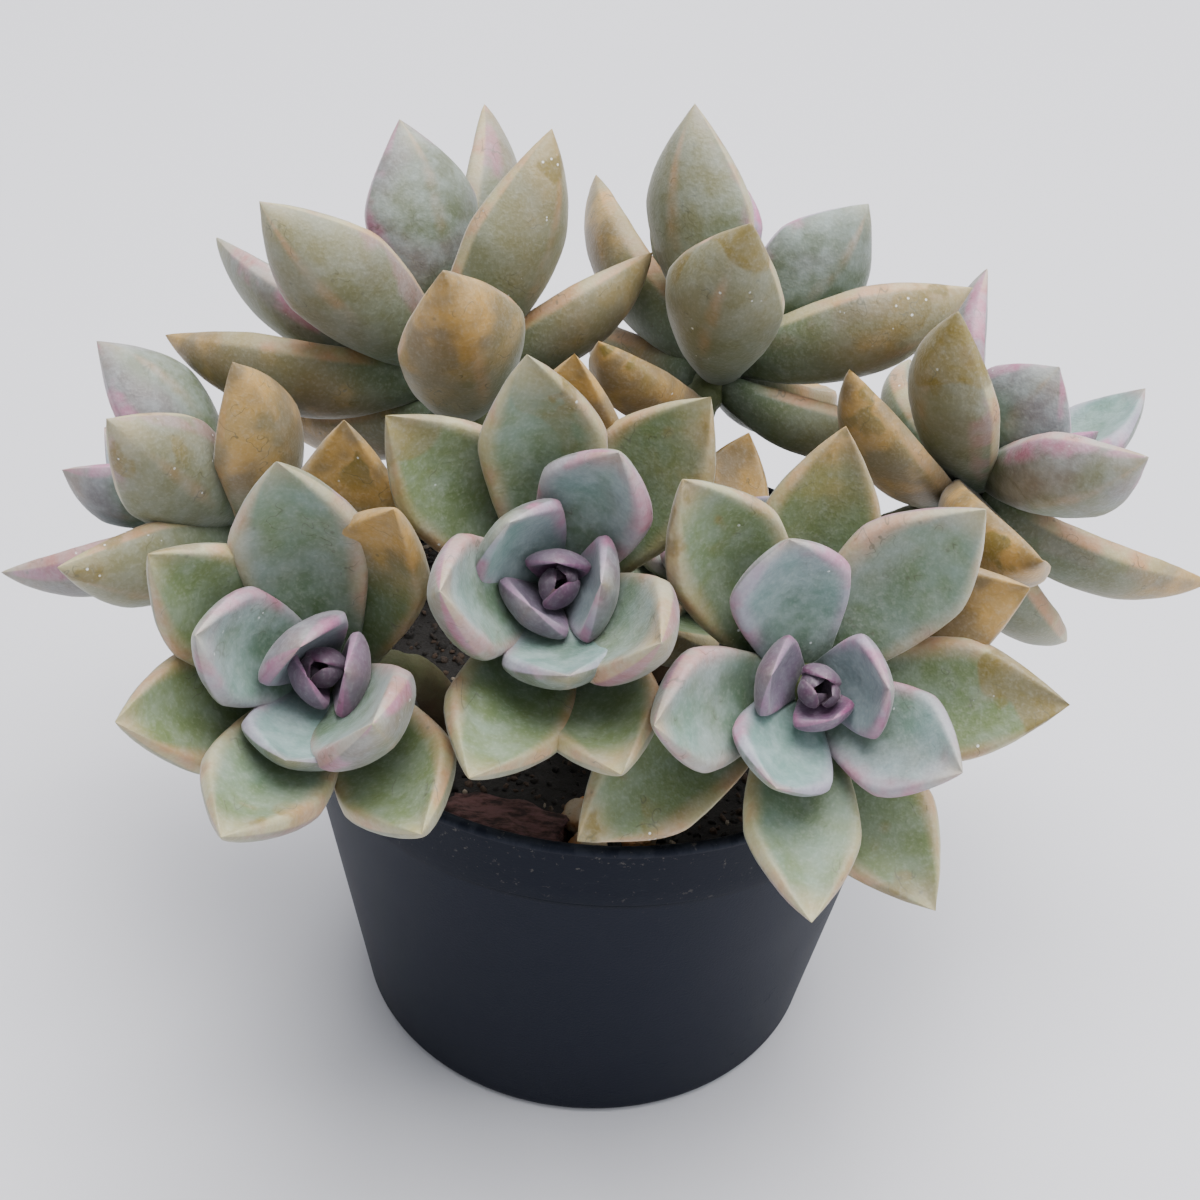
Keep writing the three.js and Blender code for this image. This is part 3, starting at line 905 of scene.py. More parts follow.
def width_share(t: np.ndarray) -> np.ndarray:
    """Half-width share along a leaf."""
    wide = 0.42 + 0.58 * np.sin(math.pi / 2 * np.minimum(t / 0.6, 1)) ** 1.15
    return np.where(t < 0.6, wide, 1 - np.clip((t - 0.6) / 0.4, 0, 1) ** 1.5)


def thick_share(t: np.ndarray) -> np.ndarray:
    """Thickness share along a leaf."""
    full = 0.5 + 0.5 * np.sin(math.pi / 2 * np.minimum(t / 0.45, 1))
    return np.where(t < 0.45, full, (1 - np.clip((t - 0.45) / 0.55, 0, 1) ** 2.6) ** 0.9)


@dataclass
class Head:
    """One leafy stem: a crown of leaves on a bent stem."""

    name: str
    at: tuple[float, float, float]
    lean: float
    tilt: float
    hand: int
    turn: float
    open_from: float
    open_gain: float
    leaf: float
    count: int
    sun: float
    lost: tuple[int, ...] = ()
    bend: dict[int, tuple[float, ...]] = field(default_factory=dict)
    amber: dict[int, float] = field(default_factory=dict)
    stem_r: float = 3.1
    neck: float = 14.0
    foot_share: float = 0.62
    foot_z: float = 62.0
    toe_z: float = 49.0
    leaves: list[Leaf] = field(default_factory=list)

    def frame(self) -> tuple[np.ndarray, np.ndarray, np.ndarray]:
        """The crown's own directions.

        Returns:
            Its side, the way up across its axis, and the way out along it.
        """
        lean, tilt = math.radians(self.lean), math.radians(self.tilt)
        out = np.array([math.cos(lean) * math.sin(tilt), math.sin(lean) * math.sin(tilt), math.cos(tilt)])
        up = np.array([0.0, 1.0, 0.0]) - out * out[1]
        up /= np.linalg.norm(up)
        return np.cross(up, out), up, out

    def sprout(self) -> None:
        """Place the leaves by the golden turn, youngest first."""
        for k in range(self.count):
            if k in self.lost:
                continue
            turn, opening, factor = (*self.bend.get(k, (0.0, 0.0)), 1.0)[:3]
            length = self.leaf * growth(k) * factor
            wave = math.sin(12.9898 * (k + 1) + 78.233 * self.turn) * 43758.5453
            self.leaves.append(Leaf(
                head=self, k=k,
                turn=math.radians(self.turn + turn) + self.hand * k * GOLDEN,
                opening=math.radians(self.open_from + self.open_gain * (k / 15) ** 0.8 + opening),
                length=length, width=length * (0.47 + 0.033 * max(0, 10 - k)),
                thick=length * (0.235 + 0.03 * max(0, 5 - k)),
                bow=0.06 + 0.06 * max(0.0, 1 - k / 8), depth=0.6 + 0.9 * k,
                offset=min(1.5, 0.3 + 0.3 * k), seed=wave - math.floor(wave)))

    def bud(self) -> list[Leaf]:
        """The tiniest leaves, folded together in the heart of the crown.

        Returns:
            Three leaves, the innermost last.
        """
        return [
            Leaf(head=self, k=0, turn=math.radians(self.turn) - self.hand * (i + 1) * GOLDEN,
                 opening=math.radians(4.0 * (2 - i)), length=self.leaf * (0.145 - 0.02 * i),
                 width=self.leaf * 0.105, thick=self.leaf * 0.06, bow=0.1, depth=0.3,
                 offset=0.9 - 0.3 * i, seed=0.2 + 0.3 * i)
            for i in range(3)]

    def stem_line(self, t: float) -> np.ndarray:
        """Place on the stem's line for a share from 0 in the mix to 1 under the bud.

        Args:
            t: The share along the line.

        Returns:
            The place in millimetres.
        """
        _, _, out = self.frame()
        tip = np.array(self.at) - 0.6 * out
        top = np.array(self.at) - self.neck * out
        foot = np.array([top[0] * self.foot_share, top[1] * self.foot_share, self.foot_z])
        toe = np.array([foot[0], foot[1], self.toe_z])
        rise = np.array([foot[0], foot[1], top[2]])
        if t < 0.2:
            return toe + (foot - toe) * (t / 0.2)
        if t < 0.7:
            s = (t - 0.2) / 0.5
            return ((1 - s) ** 3 * foot + 3 * (1 - s) ** 2 * s * rise
                    + 3 * (1 - s) * s * s * (top - 5 * out) + s ** 3 * top)
        return top + (tip - top) * ((t - 0.7) / 0.3)

    def stem_mesh(self) -> bpy.types.Mesh:
        """The stem with faint rings where leaves have dropped.

        Returns:
            A closed bar along the stem's line.
        """
        def radius(t: float) -> float:
            """Radius in millimetres for a share along the line."""
            ring = 0.12 * math.sin(70 * t) + 0.08 * math.sin(113 * t + self.turn)
            return (self.stem_r - 0.2 + ring) * (1.0 - 0.75 * max(0.0, (t - 0.9) / 0.1) ** 2)
        return tube_mesh(self.name + "_stem", self.stem_line, radius, 90, 24)

    def seed_mesh(self) -> bpy.types.Mesh:
        """One point for each leaf, which carries what the leaf tree needs.

        Returns:
            A mesh of loose points with their attributes.
        """
        leaves = [*self.leaves, *self.bud()]
        mesh = bpy.data.meshes.new(self.name + "_points")
        mesh.from_pydata([(0.0, 0.0, 0.0)] * len(leaves), [], [])
        axes = [leaf.axes() for leaf in leaves]
        vectors = {
            "root": [a[0] * MM for a in axes], "along": [a[1] for a in axes],
            "face": [a[2] for a in axes], "across": [a[3] for a in axes],
            "size": [np.array([q.length * 0.998, q.width * q.plump(), q.thick]) * MM for q in leaves],
        }
        for name, rows in vectors.items():
            layer = mesh.attributes.new(name, "FLOAT_VECTOR", "POINT")
            layer.data.foreach_set("vector", np.array(rows, dtype=float).ravel())
        numbers = {
            "bow": [q.bow for q in leaves],
            "leaf_age": [q.k / 15 for q in leaves],
            "leaf_seed": [q.seed for q in leaves],
            "leaf_sun": [self.sun for _ in leaves],
            "leaf_amber": [self.amber.get(q.k, 0.0) for q in leaves],
        }
        for name, row in numbers.items():
            mesh.attributes.new(name, "FLOAT", "POINT").data.foreach_set("value", row)
        return mesh


@dataclass
class LeafTree:
    """The geometry tree that shapes every leaf of a head from its one point."""

    widest: float = 0.6
    thickest: float = 0.45
    base: float = 0.42
    top_share: float = 0.28
    keel_share: float = 0.72
    dish: float = 0.17
    bevel: float = 0.11
    sway: float = 0.05
    weld: float = 2e-6

    def build(self) -> bpy.types.NodeTree:
        """Make the tree.

        Returns:
            A tree with inputs for its numbers of faces, its unevenness and its material.
        """
        net, given = new_tree("leaf_crown", {
            "Columns": "Int", "Rows": "Int", "Unevenness": "Float", "Skin": "Material"})
        bar = net.wire("GeometryNodeMeshCylinder", {"fill_type": "TRIANGLE_FAN"}, {
            "Vertices": given["Columns"], "Side Segments": given["Rows"],
            "Fill Segments": 1, "Radius": 1.0, "Depth": 1.0})
        copies = net.wire("GeometryNodeInstanceOnPoints", None, {
            "Points": given["Geometry"], "Instance": bar})
        solid = net.wire("GeometryNodeRealizeInstances", None, {"Geometry": copies})

        facing, across, high = net.split(net.wire("GeometryNodeInputPosition"))
        t = 1.0 - (1.0 - (high + 0.5).clamp()) ** 1.3
        for name, value in (("leaf_t", t), ("leaf_v", across), ("leaf_up", facing)):
            solid = stored(net, solid, name, value)
        solid = net.wire("GeometryNodeSetPosition", None, {"Geometry": solid, "Position": self.spot(net)})
        solid = net.wire("GeometryNodeMergeByDistance", None, {"Geometry": solid, "Distance": self.weld})
        lumps = net.noise(net.wire("GeometryNodeInputPosition"), 110.0, 2.0) - 0.5
        puff = net.scaled(net.wire("GeometryNodeInputNormal"), lumps * given["Unevenness"])
        solid = net.wire("GeometryNodeSetPosition", None, {"Geometry": solid, "Offset": puff})
        return end_tree(net, solid, given["Skin"])

    def spot(self, net: Net) -> Wire:
        """Where each point of a leaf goes.

        Args:
            net: The tree's net.

        Returns:
            The place.
        """
        t, v, age, seed, bow = (
            self.read(net, name) for name in ("leaf_t", "leaf_v", "leaf_age", "leaf_seed", "bow"))
        length, width, thick = net.split(self.read(net, "size", "FLOAT_VECTOR"))
        arch = 4.0 * t * (1.0 - t)
        rise = self.section(net, t, age) * (self.flesh(net, t) * thick) - bow * length * arch
        reach = self.half_width(net, t, age) * width * 0.5 * v + (seed - 0.5) * self.sway * length * arch
        spot = self.read(net, "root", "FLOAT_VECTOR")
        for name, way in (("along", length * t), ("face", rise), ("across", reach)):
            spot = net.vector("ADD", spot, net.scaled(self.read(net, name, "FLOAT_VECTOR"), way))
        return spot

    def half_width(self, net: Net, t: Wire, age: Wire) -> Wire:
        """Half-width share along a leaf: narrow base, widest past the middle, pointed tip.

        Args:
            net: The tree's net.
            t: Share along the leaf.
            age: The leaf's age, from 0 in the bud.

        Returns:
            The share.
        """
        rise = net.math("SINE", (t / self.widest).least(1.0) * (math.pi / 2)) ** 1.15
        beyond = ((t - self.widest) / (1.0 - self.widest)).clamp()
        blunt = 1.45 + 0.10 * (1.0 - age.ramp(0.3, 0.75))
        return t.over(self.widest).pick(1.0 - beyond ** blunt, self.base + (1.0 - self.base) * rise)

    def flesh(self, net: Net, t: Wire) -> Wire:
        """Thickness share along a leaf.

        Args:
            net: The tree's net.
            t: Share along the leaf.

        Returns:
            The share.
        """
        rise = 0.5 + 0.5 * net.math("SINE", (t / self.thickest).least(1.0) * (math.pi / 2))
        fall = (1.0 - ((t - self.thickest) / (1.0 - self.thickest)).clamp() ** 2.6) ** 0.9
        return t.over(self.thickest).pick(fall, rise)

    def section(self, net: Net, t: Wire, age: Wire) -> Wire:
        """Height share across a leaf: a bevelled rim round a hollow above, a keel below.

        Args:
            net: The tree's net.
            t: Share along the leaf.
            age: The leaf's age, from 0 in the bud.

        Returns:
            The share of the thickness.
        """
        span = abs(self.read(net, "leaf_v")).least(0.99999)
        tender = 1.0 - age.ramp(0.1, 0.7)
        bevel = self.bevel + t.ramp(0.55, 1.0) * (0.07 + 0.15 * tender)
        crest = (1.0 - (1.0 - ((1.0 - span) / bevel).clamp()) ** 2.4) * self.top_share
        flat = (1.0 - (span / (1.0 - bevel)) ** 2.0).clamp() ** 1.8
        hollow = flat * t.ramp(0.15, 0.5) * (self.dish + 0.16 * tender)
        keel = (1.0 - span ** 1.7) ** 0.6 * -self.keel_share
        return self.read(net, "leaf_up").over(0.0).pick(crest - hollow, keel)

    @staticmethod
    def read(net: Net, name: str, kind: str = "FLOAT") -> Wire:
        """Read a named attribute in the tree."""
        return net.wire("GeometryNodeInputNamedAttribute", {"data_type": kind}, {"Name": name}, "Attribute")


@dataclass
class Clearance:
    """Turns and opens leaves until neighbouring heads, pot and mix are clear."""

    gap: float = 1.1
    steps: int = 60
    firm: int = 5
    stiffness: float = 60.0
    ease: float = 0.8
    most_turn: float = 0.06
    stem_r: float = 3.1
    stem_balls: int = 12
    mix_z: float = 61.0
    mix_r: float = 47.0
    wall_half: float = 1.3
    along: tuple[float, ...] = (0.28, 0.45, 0.62, 0.78, 0.91)
    across: tuple[float, ...] = (-0.58, 0.0, 0.58)
    wall: tuple[tuple[float, ...], ...] = ((49.0, 71.0, 47.0, 60.0), (47.0, 60.0, 37.5, 0.0))

    def probes(self, leaf: Leaf) -> tuple[np.ndarray, np.ndarray, np.ndarray, np.ndarray]:
        """Balls that fill a leaf.

        Args:
            leaf: The leaf.

        Returns:
            Their places, radii, and how they move when the leaf turns and when it opens.
        """
        root, along, face, across = leaf.axes()
        _, _, out = leaf.head.frame()
        t = np.repeat(self.along, len(self.across))
        v = np.tile(self.across, len(self.along))
        half = leaf.width / 2 * width_share(t)
        thick = leaf.thick * thick_share(t)
        a = (leaf.length * t)[:, None]
        b = (-leaf.bow * leaf.length * 4 * t * (1 - t) - 0.22 * thick * (1 - 0.5 * np.abs(v)))[:, None]
        spots = root + a * along + b * face + (half * v)[:, None] * across
        radii = np.where(v == 0, 0.5 * thick, np.minimum(0.4 * thick, 0.45 * half))
        return spots, radii, np.cross(out, spots - np.array(leaf.head.at)), b * along - a * face

    def settle(self, heads: Sequence[Head]) -> None:
        """Move the leaves of all heads a little at a time.

        Args:
            heads: The heads, with their leaves placed.
        """
        leaves = [leaf for head in heads for leaf in head.leaves]
        owner = np.repeat(np.arange(len(leaves)), len(self.along) * len(self.across))
        shares = [0.2 + 0.75 * i / (self.stem_balls - 1) for i in range(self.stem_balls)]
        stems = np.array([head.stem_line(share) for head in heads for share in shares])
        head_of = np.concatenate([[heads.index(leaves[i].head) for i in owner],
                                  np.repeat(np.arange(len(heads)), self.stem_balls)])
        is_firm = np.concatenate([[leaves[i].k < self.firm for i in owner], np.ones(len(stems), bool)])
        total = len(owner)
        for _ in range(self.steps):
            got = [self.probes(leaf) for leaf in leaves]
            spots = np.concatenate([g[0] for g in got] + [stems])
            radii = np.concatenate([g[1] for g in got] + [np.full(len(stems), self.stem_r)])
            on_turn = np.concatenate([g[2] for g in got])
            on_open = np.concatenate([g[3] for g in got])
            hits = [self.leaf_hits(spots, radii, total, head_of, is_firm),
                    *self.pot_hits(spots[:total], radii[:total])]
            h = np.zeros((len(leaves), 3)) + (self.stiffness, 0.0, self.stiffness)
            g = np.zeros((len(leaves), 2))
            for which, way, depth in hits:
                jt = (on_turn[which] * way).sum(1)
                jo = (on_open[which] * way).sum(1)
                np.add.at(h, owner[which], np.stack([jt * jt, jt * jo, jo * jo], 1))
                np.add.at(g, owner[which], np.stack([jt * depth, jo * depth], 1))
            det = h[:, 0] * h[:, 2] - h[:, 1] ** 2
            turn = self.ease * (g[:, 0] * h[:, 2] - g[:, 1] * h[:, 1]) / det
            opening = self.ease * (g[:, 1] * h[:, 0] - g[:, 0] * h[:, 1]) / det
            for leaf, a, b in zip(leaves, turn, opening):
                leaf.turn += np.clip(a, -self.most_turn, self.most_turn)
                leaf.opening += np.clip(b, -self.most_turn, self.most_turn)

    def leaf_hits(
        self, spots: np.ndarray, radii: np.ndarray, total: int, head_of: np.ndarray, is_firm: np.ndarray,
    ) -> Hits:
        """Bites of leaves into the leaves and stems of other heads.

        Args:
            spots: Places of the balls, those of the leaves first.
            radii: Their radii.
            total: How many of them belong to leaves.
            head_of: The head of each ball.
            is_firm: Whether each ball stays where it is.

        Returns:
            Which balls, in which way and how deep.
        """
        away = spots[:total, None] - spots[None]
        dist = np.sqrt((away ** 2).sum(2))
        bite = radii[:total, None] + radii[None] + self.gap - dist
        pair = (bite > 0) & (head_of[:total, None] != head_of[None]) & ~is_firm[:total, None]
        i, j = np.nonzero(pair)
        part = np.where(is_firm[j], 1.0, 0.5) * bite[i, j]
        return i, away[i, j] / np.maximum(dist[i, j], 1e-6)[:, None], part

    def pot_hits(self, spots: np.ndarray, radii: np.ndarray) -> list[Hits]:
        """Bites into the pot wall and the mix.

        Args:
            spots: Places of the balls.
            radii: Their radii.

        Returns:
            Which balls, in which way and how deep, for the wall and for the mix.
        """
        rho = np.hypot(spots[:, 0], spots[:, 1])
        best = np.full(len(spots), np.inf)
        near = np.zeros((len(spots), 2))
        for r0, z0, r1, z1 in self.wall:
            er, ez = r1 - r0, z1 - z0
            s = np.clip(((rho - r0) * er + (spots[:, 2] - z0) * ez) / (er * er + ez * ez), 0, 1)
            off = np.stack([rho - r0 - s * er, spots[:, 2] - z0 - s * ez], 1)
            gap = np.hypot(off[:, 0], off[:, 1])
            near = np.where((gap < best)[:, None], off, near)
            best = np.minimum(best, gap)
        bite = radii + self.wall_half + self.gap - best
        i = np.nonzero(bite > 0)[0]
        out = near[i] / np.maximum(best[i], 1e-6)[:, None]
        way = np.stack([spots[i, 0] / rho[i] * out[:, 0], spots[i, 1] / rho[i] * out[:, 0], out[:, 1]], 1)
        sunk = radii + self.mix_z + 0.5 + self.gap - spots[:, 2]
        j = np.nonzero((sunk > 0) & (rho < self.mix_r))[0]
        return [(i, way, bite[i]), (j, np.tile((0.0, 0.0, 1.0), (len(j), 1)), sunk[j])]


@dataclass
class Plant:
    """All the leafy stems."""

    columns: int = 40
    rows: int = 44
    unevenness: float = 0.0005
    clearance: Clearance = field(default_factory=Clearance)

    def heads(self) -> list[Head]:
        """The heads and their driving values, the same as in the fixed model.

        Returns:
            One head for each leafy stem.
        """
        return [
            Head(name="rosette_front_right", at=(27.5, -41.5, 95.5), lean=279, tilt=56, hand=-1, turn=219,
                 open_from=3, open_gain=72, leaf=35.5, count=18, sun=0.12,
                 lost=(16,),
                 bend={
                     3: (8, 8), 4: (-7, -6), 5: (1, 4), 6: (6, 13, 1.05), 7: (8, -2, 0.98), 8: (-1, 3),
                     9: (3, 7, 1.06), 10: (-4, -1, 0.98), 11: (-7, 5, 1.04), 12: (2, 1, 1.02),
                     13: (-6, 5, 1.06), 14: (3, 0), 15: (-10, 0, 1.03), 17: (-2, -24)},
                 amber={12: -1.0, 14: 0.45, 15: -1.0, 17: 0.75}),
            Head(name="rosette_front_centre", at=(-7.5, -34, 104), lean=272, tilt=46, hand=1, turn=175,
                 open_from=-4, open_gain=62, leaf=36, count=16, sun=0.18,
                 bend={
                     3: (7, 4), 4: (-10, -2), 5: (-5, -1), 6: (2, 3), 7: (7, 3), 9: (-3, -7, 0.98),
                     10: (-7, 5, 1.04), 11: (5, 3), 12: (25, 3, 1.03), 13: (-18, 1, 1.02), 15: (13, -6)},
                 amber={10: -0.4, 12: 0.25, 13: -0.6, 15: 0.9}),
            Head(name="rosette_front_left", at=(-37, -43, 94), lean=271, tilt=46, hand=1, turn=302,
                 open_from=-3, open_gain=49, leaf=36, count=18, sun=0.2,
                 lost=(6, 11, 16),
                 bend={
                     4: (2, -9), 5: (-11, 14, 1.04), 7: (-13, 4), 8: (-1, -8), 9: (5, 12, 1.07),
                     10: (12, 6, 1.02), 12: (-1, 2), 13: (18, 1), 14: (-7, -6, 0.97), 15: (-4, -3),
                     17: (-30, 5, 1.05)},
                 amber={12: -0.9, 14: 0.6, 17: 0.75}),
            Head(name="rosette_left", at=(-68.6, 15.6, 83.3), lean=162, tilt=59, hand=-1, turn=238,
                 open_from=4, open_gain=60, leaf=40, count=16, sun=0.4,
                 lost=(9, 11, 12, 14),
                 bend={
                     4: (-12, 4), 5: (-24, 1), 7: (-7, -17), 8: (0, 14), 10: (2, 10, 0.95),
                     13: (16, 7, 0.91), 15: (0, 0, 0.93)},
                 amber={7: 0.1, 13: 0.2, 15: 0.6}),
            Head(name="rosette_back_left", at=(-34.6, 34.8, 106.5), lean=127, tilt=51, hand=-1, turn=202,
                 open_from=5, open_gain=65, leaf=44, count=21, sun=0.75,
                 lost=(11, 15, 16, 17, 18),
                 bend={
                     7: (3, -8), 8: (10, -8, 1.05), 9: (-17, -15), 10: (0, 0, 0.91), 12: (-8, 2, 0.95),
                     13: (-9, -5, 0.98), 14: (-51, 14, 0.84), 19: (44, -23, 1.07), 20: (-31, -9, 0.95)},
                 amber={9: 0.2, 12: 0.3, 13: 0.55, 14: 0.5, 19: 0.75, 20: 0.55}),
            Head(name="rosette_back_right", at=(19.9, 41.0, 107.7), lean=62, tilt=51, hand=-1, turn=19,
                 open_from=7, open_gain=63, leaf=43, count=23, sun=0.7,
                 lost=(8, 10, 17, 18, 19, 20, 21),
                 bend={
                     4: (-7, -7, 1.08), 6: (10, 0, 0.98), 9: (-10, 3, 0.97), 11: (5, 1, 0.92),
                     12: (-18, 8, 0.97), 13: (14, 5, 0.98), 14: (-9, 9, 0.92), 15: (-14, 8, 0.97),
                     16: (0, 8, 0.75), 22: (-15, 6, 0.73)},
                 amber={11: 0.25, 12: 0.6, 13: 0.7, 14: -0.9, 15: 0.6, 16: 0.3, 22: 0.85}),
            Head(name="rosette_right", at=(63.7, 25.3, 94.8), lean=31, tilt=47, hand=1, turn=264,
                 open_from=11, open_gain=74, leaf=40, count=16, sun=0.55,
                 lost=(4, 9),
                 bend={
                     2: (-13, -1, 1.12), 5: (-1, 6), 6: (-9, -27), 7: (0, -9), 8: (-13, 5, 0.94),
                     10: (9, 3, 0.95), 11: (0, 0, 0.98), 12: (-18, 1), 13: (9, 15, 0.98), 14: (-16, 16),
                     15: (28, 1, 0.93)},
                 amber={10: -0.9, 11: 0.3, 13: 1.0, 14: 0.3, 15: 0.7}),
            Head(name="rosette_middle", at=(14.4, -0.9, 86.9), lean=316, tilt=13, hand=1, turn=60,
                 open_from=6, open_gain=66, leaf=31, count=13, sun=0.9,
                 lost=(11,),
                 bend={6: (5, -1), 8: (-1, 10, 0.94)},
                 amber={6: 0.7, 8: 0.9, 9: 0.5, 10: 0.5, 12: 0.3}),
        ]

    def build(self) -> None:
        """Place, settle and shape every leaf, and stand each head for its node."""
        heads = self.heads()
        for head in heads:
            head.sprout()
        self.clearance.settle(heads)
        tree = LeafTree().build()
        skin = LeafFinish()
        for head in heads:
            inputs = {"Columns": self.columns, "Rows": self.rows, "Unevenness": self.unevenness,
                      "Skin": skin.material()}
            mesh = grown(head.name + "_leaves", head.seed_mesh(), tree, inputs)
            crown = new_piece(head.name + "_leaves", mesh, skin)
            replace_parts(crown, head.name)
            new_piece(head.name + "_stem", head.stem_mesh(), StemFinish())


# Pot and filling


@dataclass
class Pot:
    """The squat growing pot with its stepped collar band."""

    rim_r: float = 50.0
    height: float = 71.0
    base_r: float = 38.5
    wall: float = 1.5
    floor: float = 1.8
    band_z: float = 59.6
    band_r: float = 48.9
    step: float = 0.9
    drains: int = 8
    drain_r: float = 3.0
    drain_ring: float = 29.0
    drain_depth: float = 10.0
    drain_sides: int = 28
    sides: int = 160
    sharp: float = 35.0

    def profile(self) -> list[tuple[float, float]]:
        """Outline from the underside's centre, up the outside, over the rim and down inside.

        Returns:
            Radius and height of each point, in millimetres.
        """
        foot = [(self.base_r - 2 + 2 * math.sin(a), 2 - 2 * math.cos(a))
                for a in np.linspace(0, math.pi / 2, 7)]
        low = (self.base_r, 2.0)
        high = (self.band_r - self.step, self.band_z - 1.2)
        side = [(low[0] + (high[0] - low[0]) * s, low[1] + (high[1] - low[1]) * s)
                for s in np.linspace(0.05, 1.0, 12)]
        band = [(self.band_r - self.step - 0.25, self.band_z - 0.75),
                (self.band_r - 0.5, self.band_z - 0.6), (self.band_r - 0.1, self.band_z - 0.3),
                (self.band_r, self.band_z + 0.2)]
        top_r = self.rim_r - 0.25
        lip = [(self.band_r + (top_r - self.band_r) * s, self.band_z + 0.2 + 10.2 * s)
               for s in (0.25, 0.5, 0.75, 1.0)]
        roll = [(top_r - 0.75 + 0.9 * math.cos(a), self.height - 0.9 + 0.9 * math.sin(a))
                for a in np.linspace(-0.4, math.pi - 0.2, 10)]
        inside = [(self.rim_r - self.wall - 0.2, self.height - 1.4),
                  (self.band_r - self.wall - 0.2, self.band_z + 2.0),
                  (self.band_r - self.wall - 0.4, self.band_z - 1.5),
                  (self.base_r - self.wall + 0.2, self.floor + 2),
                  (self.base_r - self.wall - 1, self.floor)]
        return [(0.0, 0.0), (15.0, 0.0), *foot, *side, *band, *lip, *roll, *inside, (0.0, self.floor)]

    def build(self) -> None:
        """Turn the pot, cut its drain holes and stand it for its node."""
        shell = put("pot_shell", lathe_mesh("pot_shell", self.profile(), self.sides))
        cutter = put("pot_drills", self.drills())
        cut = shell.modifiers.new("drains", "BOOLEAN")
        cut.operation = "DIFFERENCE"
        cut.solver = "EXACT"
        cut.object = cutter
        done = plain_mesh("pot_shell", shell)
        bpy.data.objects.remove(cutter, do_unlink=True)
        done.shade_smooth()
        done.set_sharp_from_angle(angle=math.radians(self.sharp))
        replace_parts(new_piece("pot_shell", done, PotFinish()), "pot")

    def drills(self) -> bpy.types.Mesh:
        """The bars that cut the drain holes.

        Returns:
            One mesh with a bar for each hole.
        """
        form = bmesh.new()
        for i in range(self.drains):
            angle = (i + 0.5) * 2 * math.pi / self.drains
            spot = Vector((math.cos(angle), math.sin(angle), 0.0)) * self.drain_ring * MM
            bmesh.ops.create_cone(
                form, cap_ends=True, segments=self.drain_sides, radius1=self.drain_r * MM,
                radius2=self.drain_r * MM, depth=self.drain_depth * MM, matrix=Matrix.Translation(spot))
        drills = bpy.data.meshes.new("pot_drills")
        form.to_mesh(drills)
        form.free()
        return drills


@dataclass
class CrumbTree:
    """The geometry tree that roughens the mix and scatters crumbs over it."""

    seed: int = 7
    bed_tone: float = 0.3

    def build(self) -> bpy.types.NodeTree:
        """Make the tree.

        Returns:
            A tree with inputs for the level, the crumbs' number and size, and the material.
        """
        net, given = new_tree("mix_crumbs", {
            "Level": "Float", "Density": "Float", "Smallest": "Float", "Largest": "Float",
            "Skin": "Material"})
        place = net.wire("GeometryNodeInputPosition")
        on_top = net.split(place)[2].over(given["Level"])
        heave = (net.noise(place, 240.0, 4.0, 0.6) - 0.5) * 0.0026 * on_top
        lift = net.wire("ShaderNodeCombineXYZ", None, {2: heave})
        bed = net.wire("GeometryNodeSetPosition", None, {"Geometry": given["Geometry"], "Offset": lift})
        bed = stored(net, bed, "crumb_tone", self.bed_tone)
        spread = net.wire("GeometryNodeDistributePointsOnFaces", {"distribute_method": "RANDOM"}, {
            "Mesh": bed, "Selection": on_top, "Density": given["Density"], "Seed": self.seed})
        crumb = net.wire("GeometryNodeMeshIcoSphere", None, {"Radius": 1.0, "Subdivisions": 1})
        dented = net.scaled(place, net.noise(place, 1.4, 2.0) + 0.5)
        crumb = net.wire("GeometryNodeSetPosition", None, {"Geometry": crumb, "Position": dented})
        size = self.random(net, "FLOAT", 2, given["Smallest"], given["Largest"], 3)
        spin = self.random(net, "FLOAT_VECTOR", 0, (0.0, 0.0, 0.0), (6.28, 6.28, 6.28), 4)
        squash = self.random(net, "FLOAT_VECTOR", 0, (0.7, 0.5, 0.35), (1.2, 0.9, 0.7), 5)
        dots = stored(net, spread, "crumb_tone", self.random(net, "FLOAT", 2, 0.0, 1.0, 6))
        copies = net.wire("GeometryNodeInstanceOnPoints", None, {
            "Points": dots, "Instance": crumb, "Rotation": spin, "Scale": net.scaled(squash, size)})
        joined = net.node("GeometryNodeJoinGeometry")
        for part in (copies, bed):
            net.feed(joined.inputs[0], part)
        return end_tree(net, Wire(net, joined.outputs[0]), given["Skin"])

    def random(self, net: Net, kind: str, first: int, low: Any, high: Any, salt: int) -> Wire:
        """A seeded random value between two limits.

        Args:
            net: The net of the tree.
            kind: FLOAT or FLOAT_VECTOR.
            first: Place of the lower limit among the node's inputs.
            low: The lower limit.
            high: The upper limit.
            salt: Keeps this draw apart from the others.

        Returns:
            The random value.
        """
        out = 1 if kind == "FLOAT" else 0
        values = {first: low, first + 1: high, "Seed": self.seed + salt}
        return net.wire("FunctionNodeRandomValue", {"data_type": kind}, values, out)


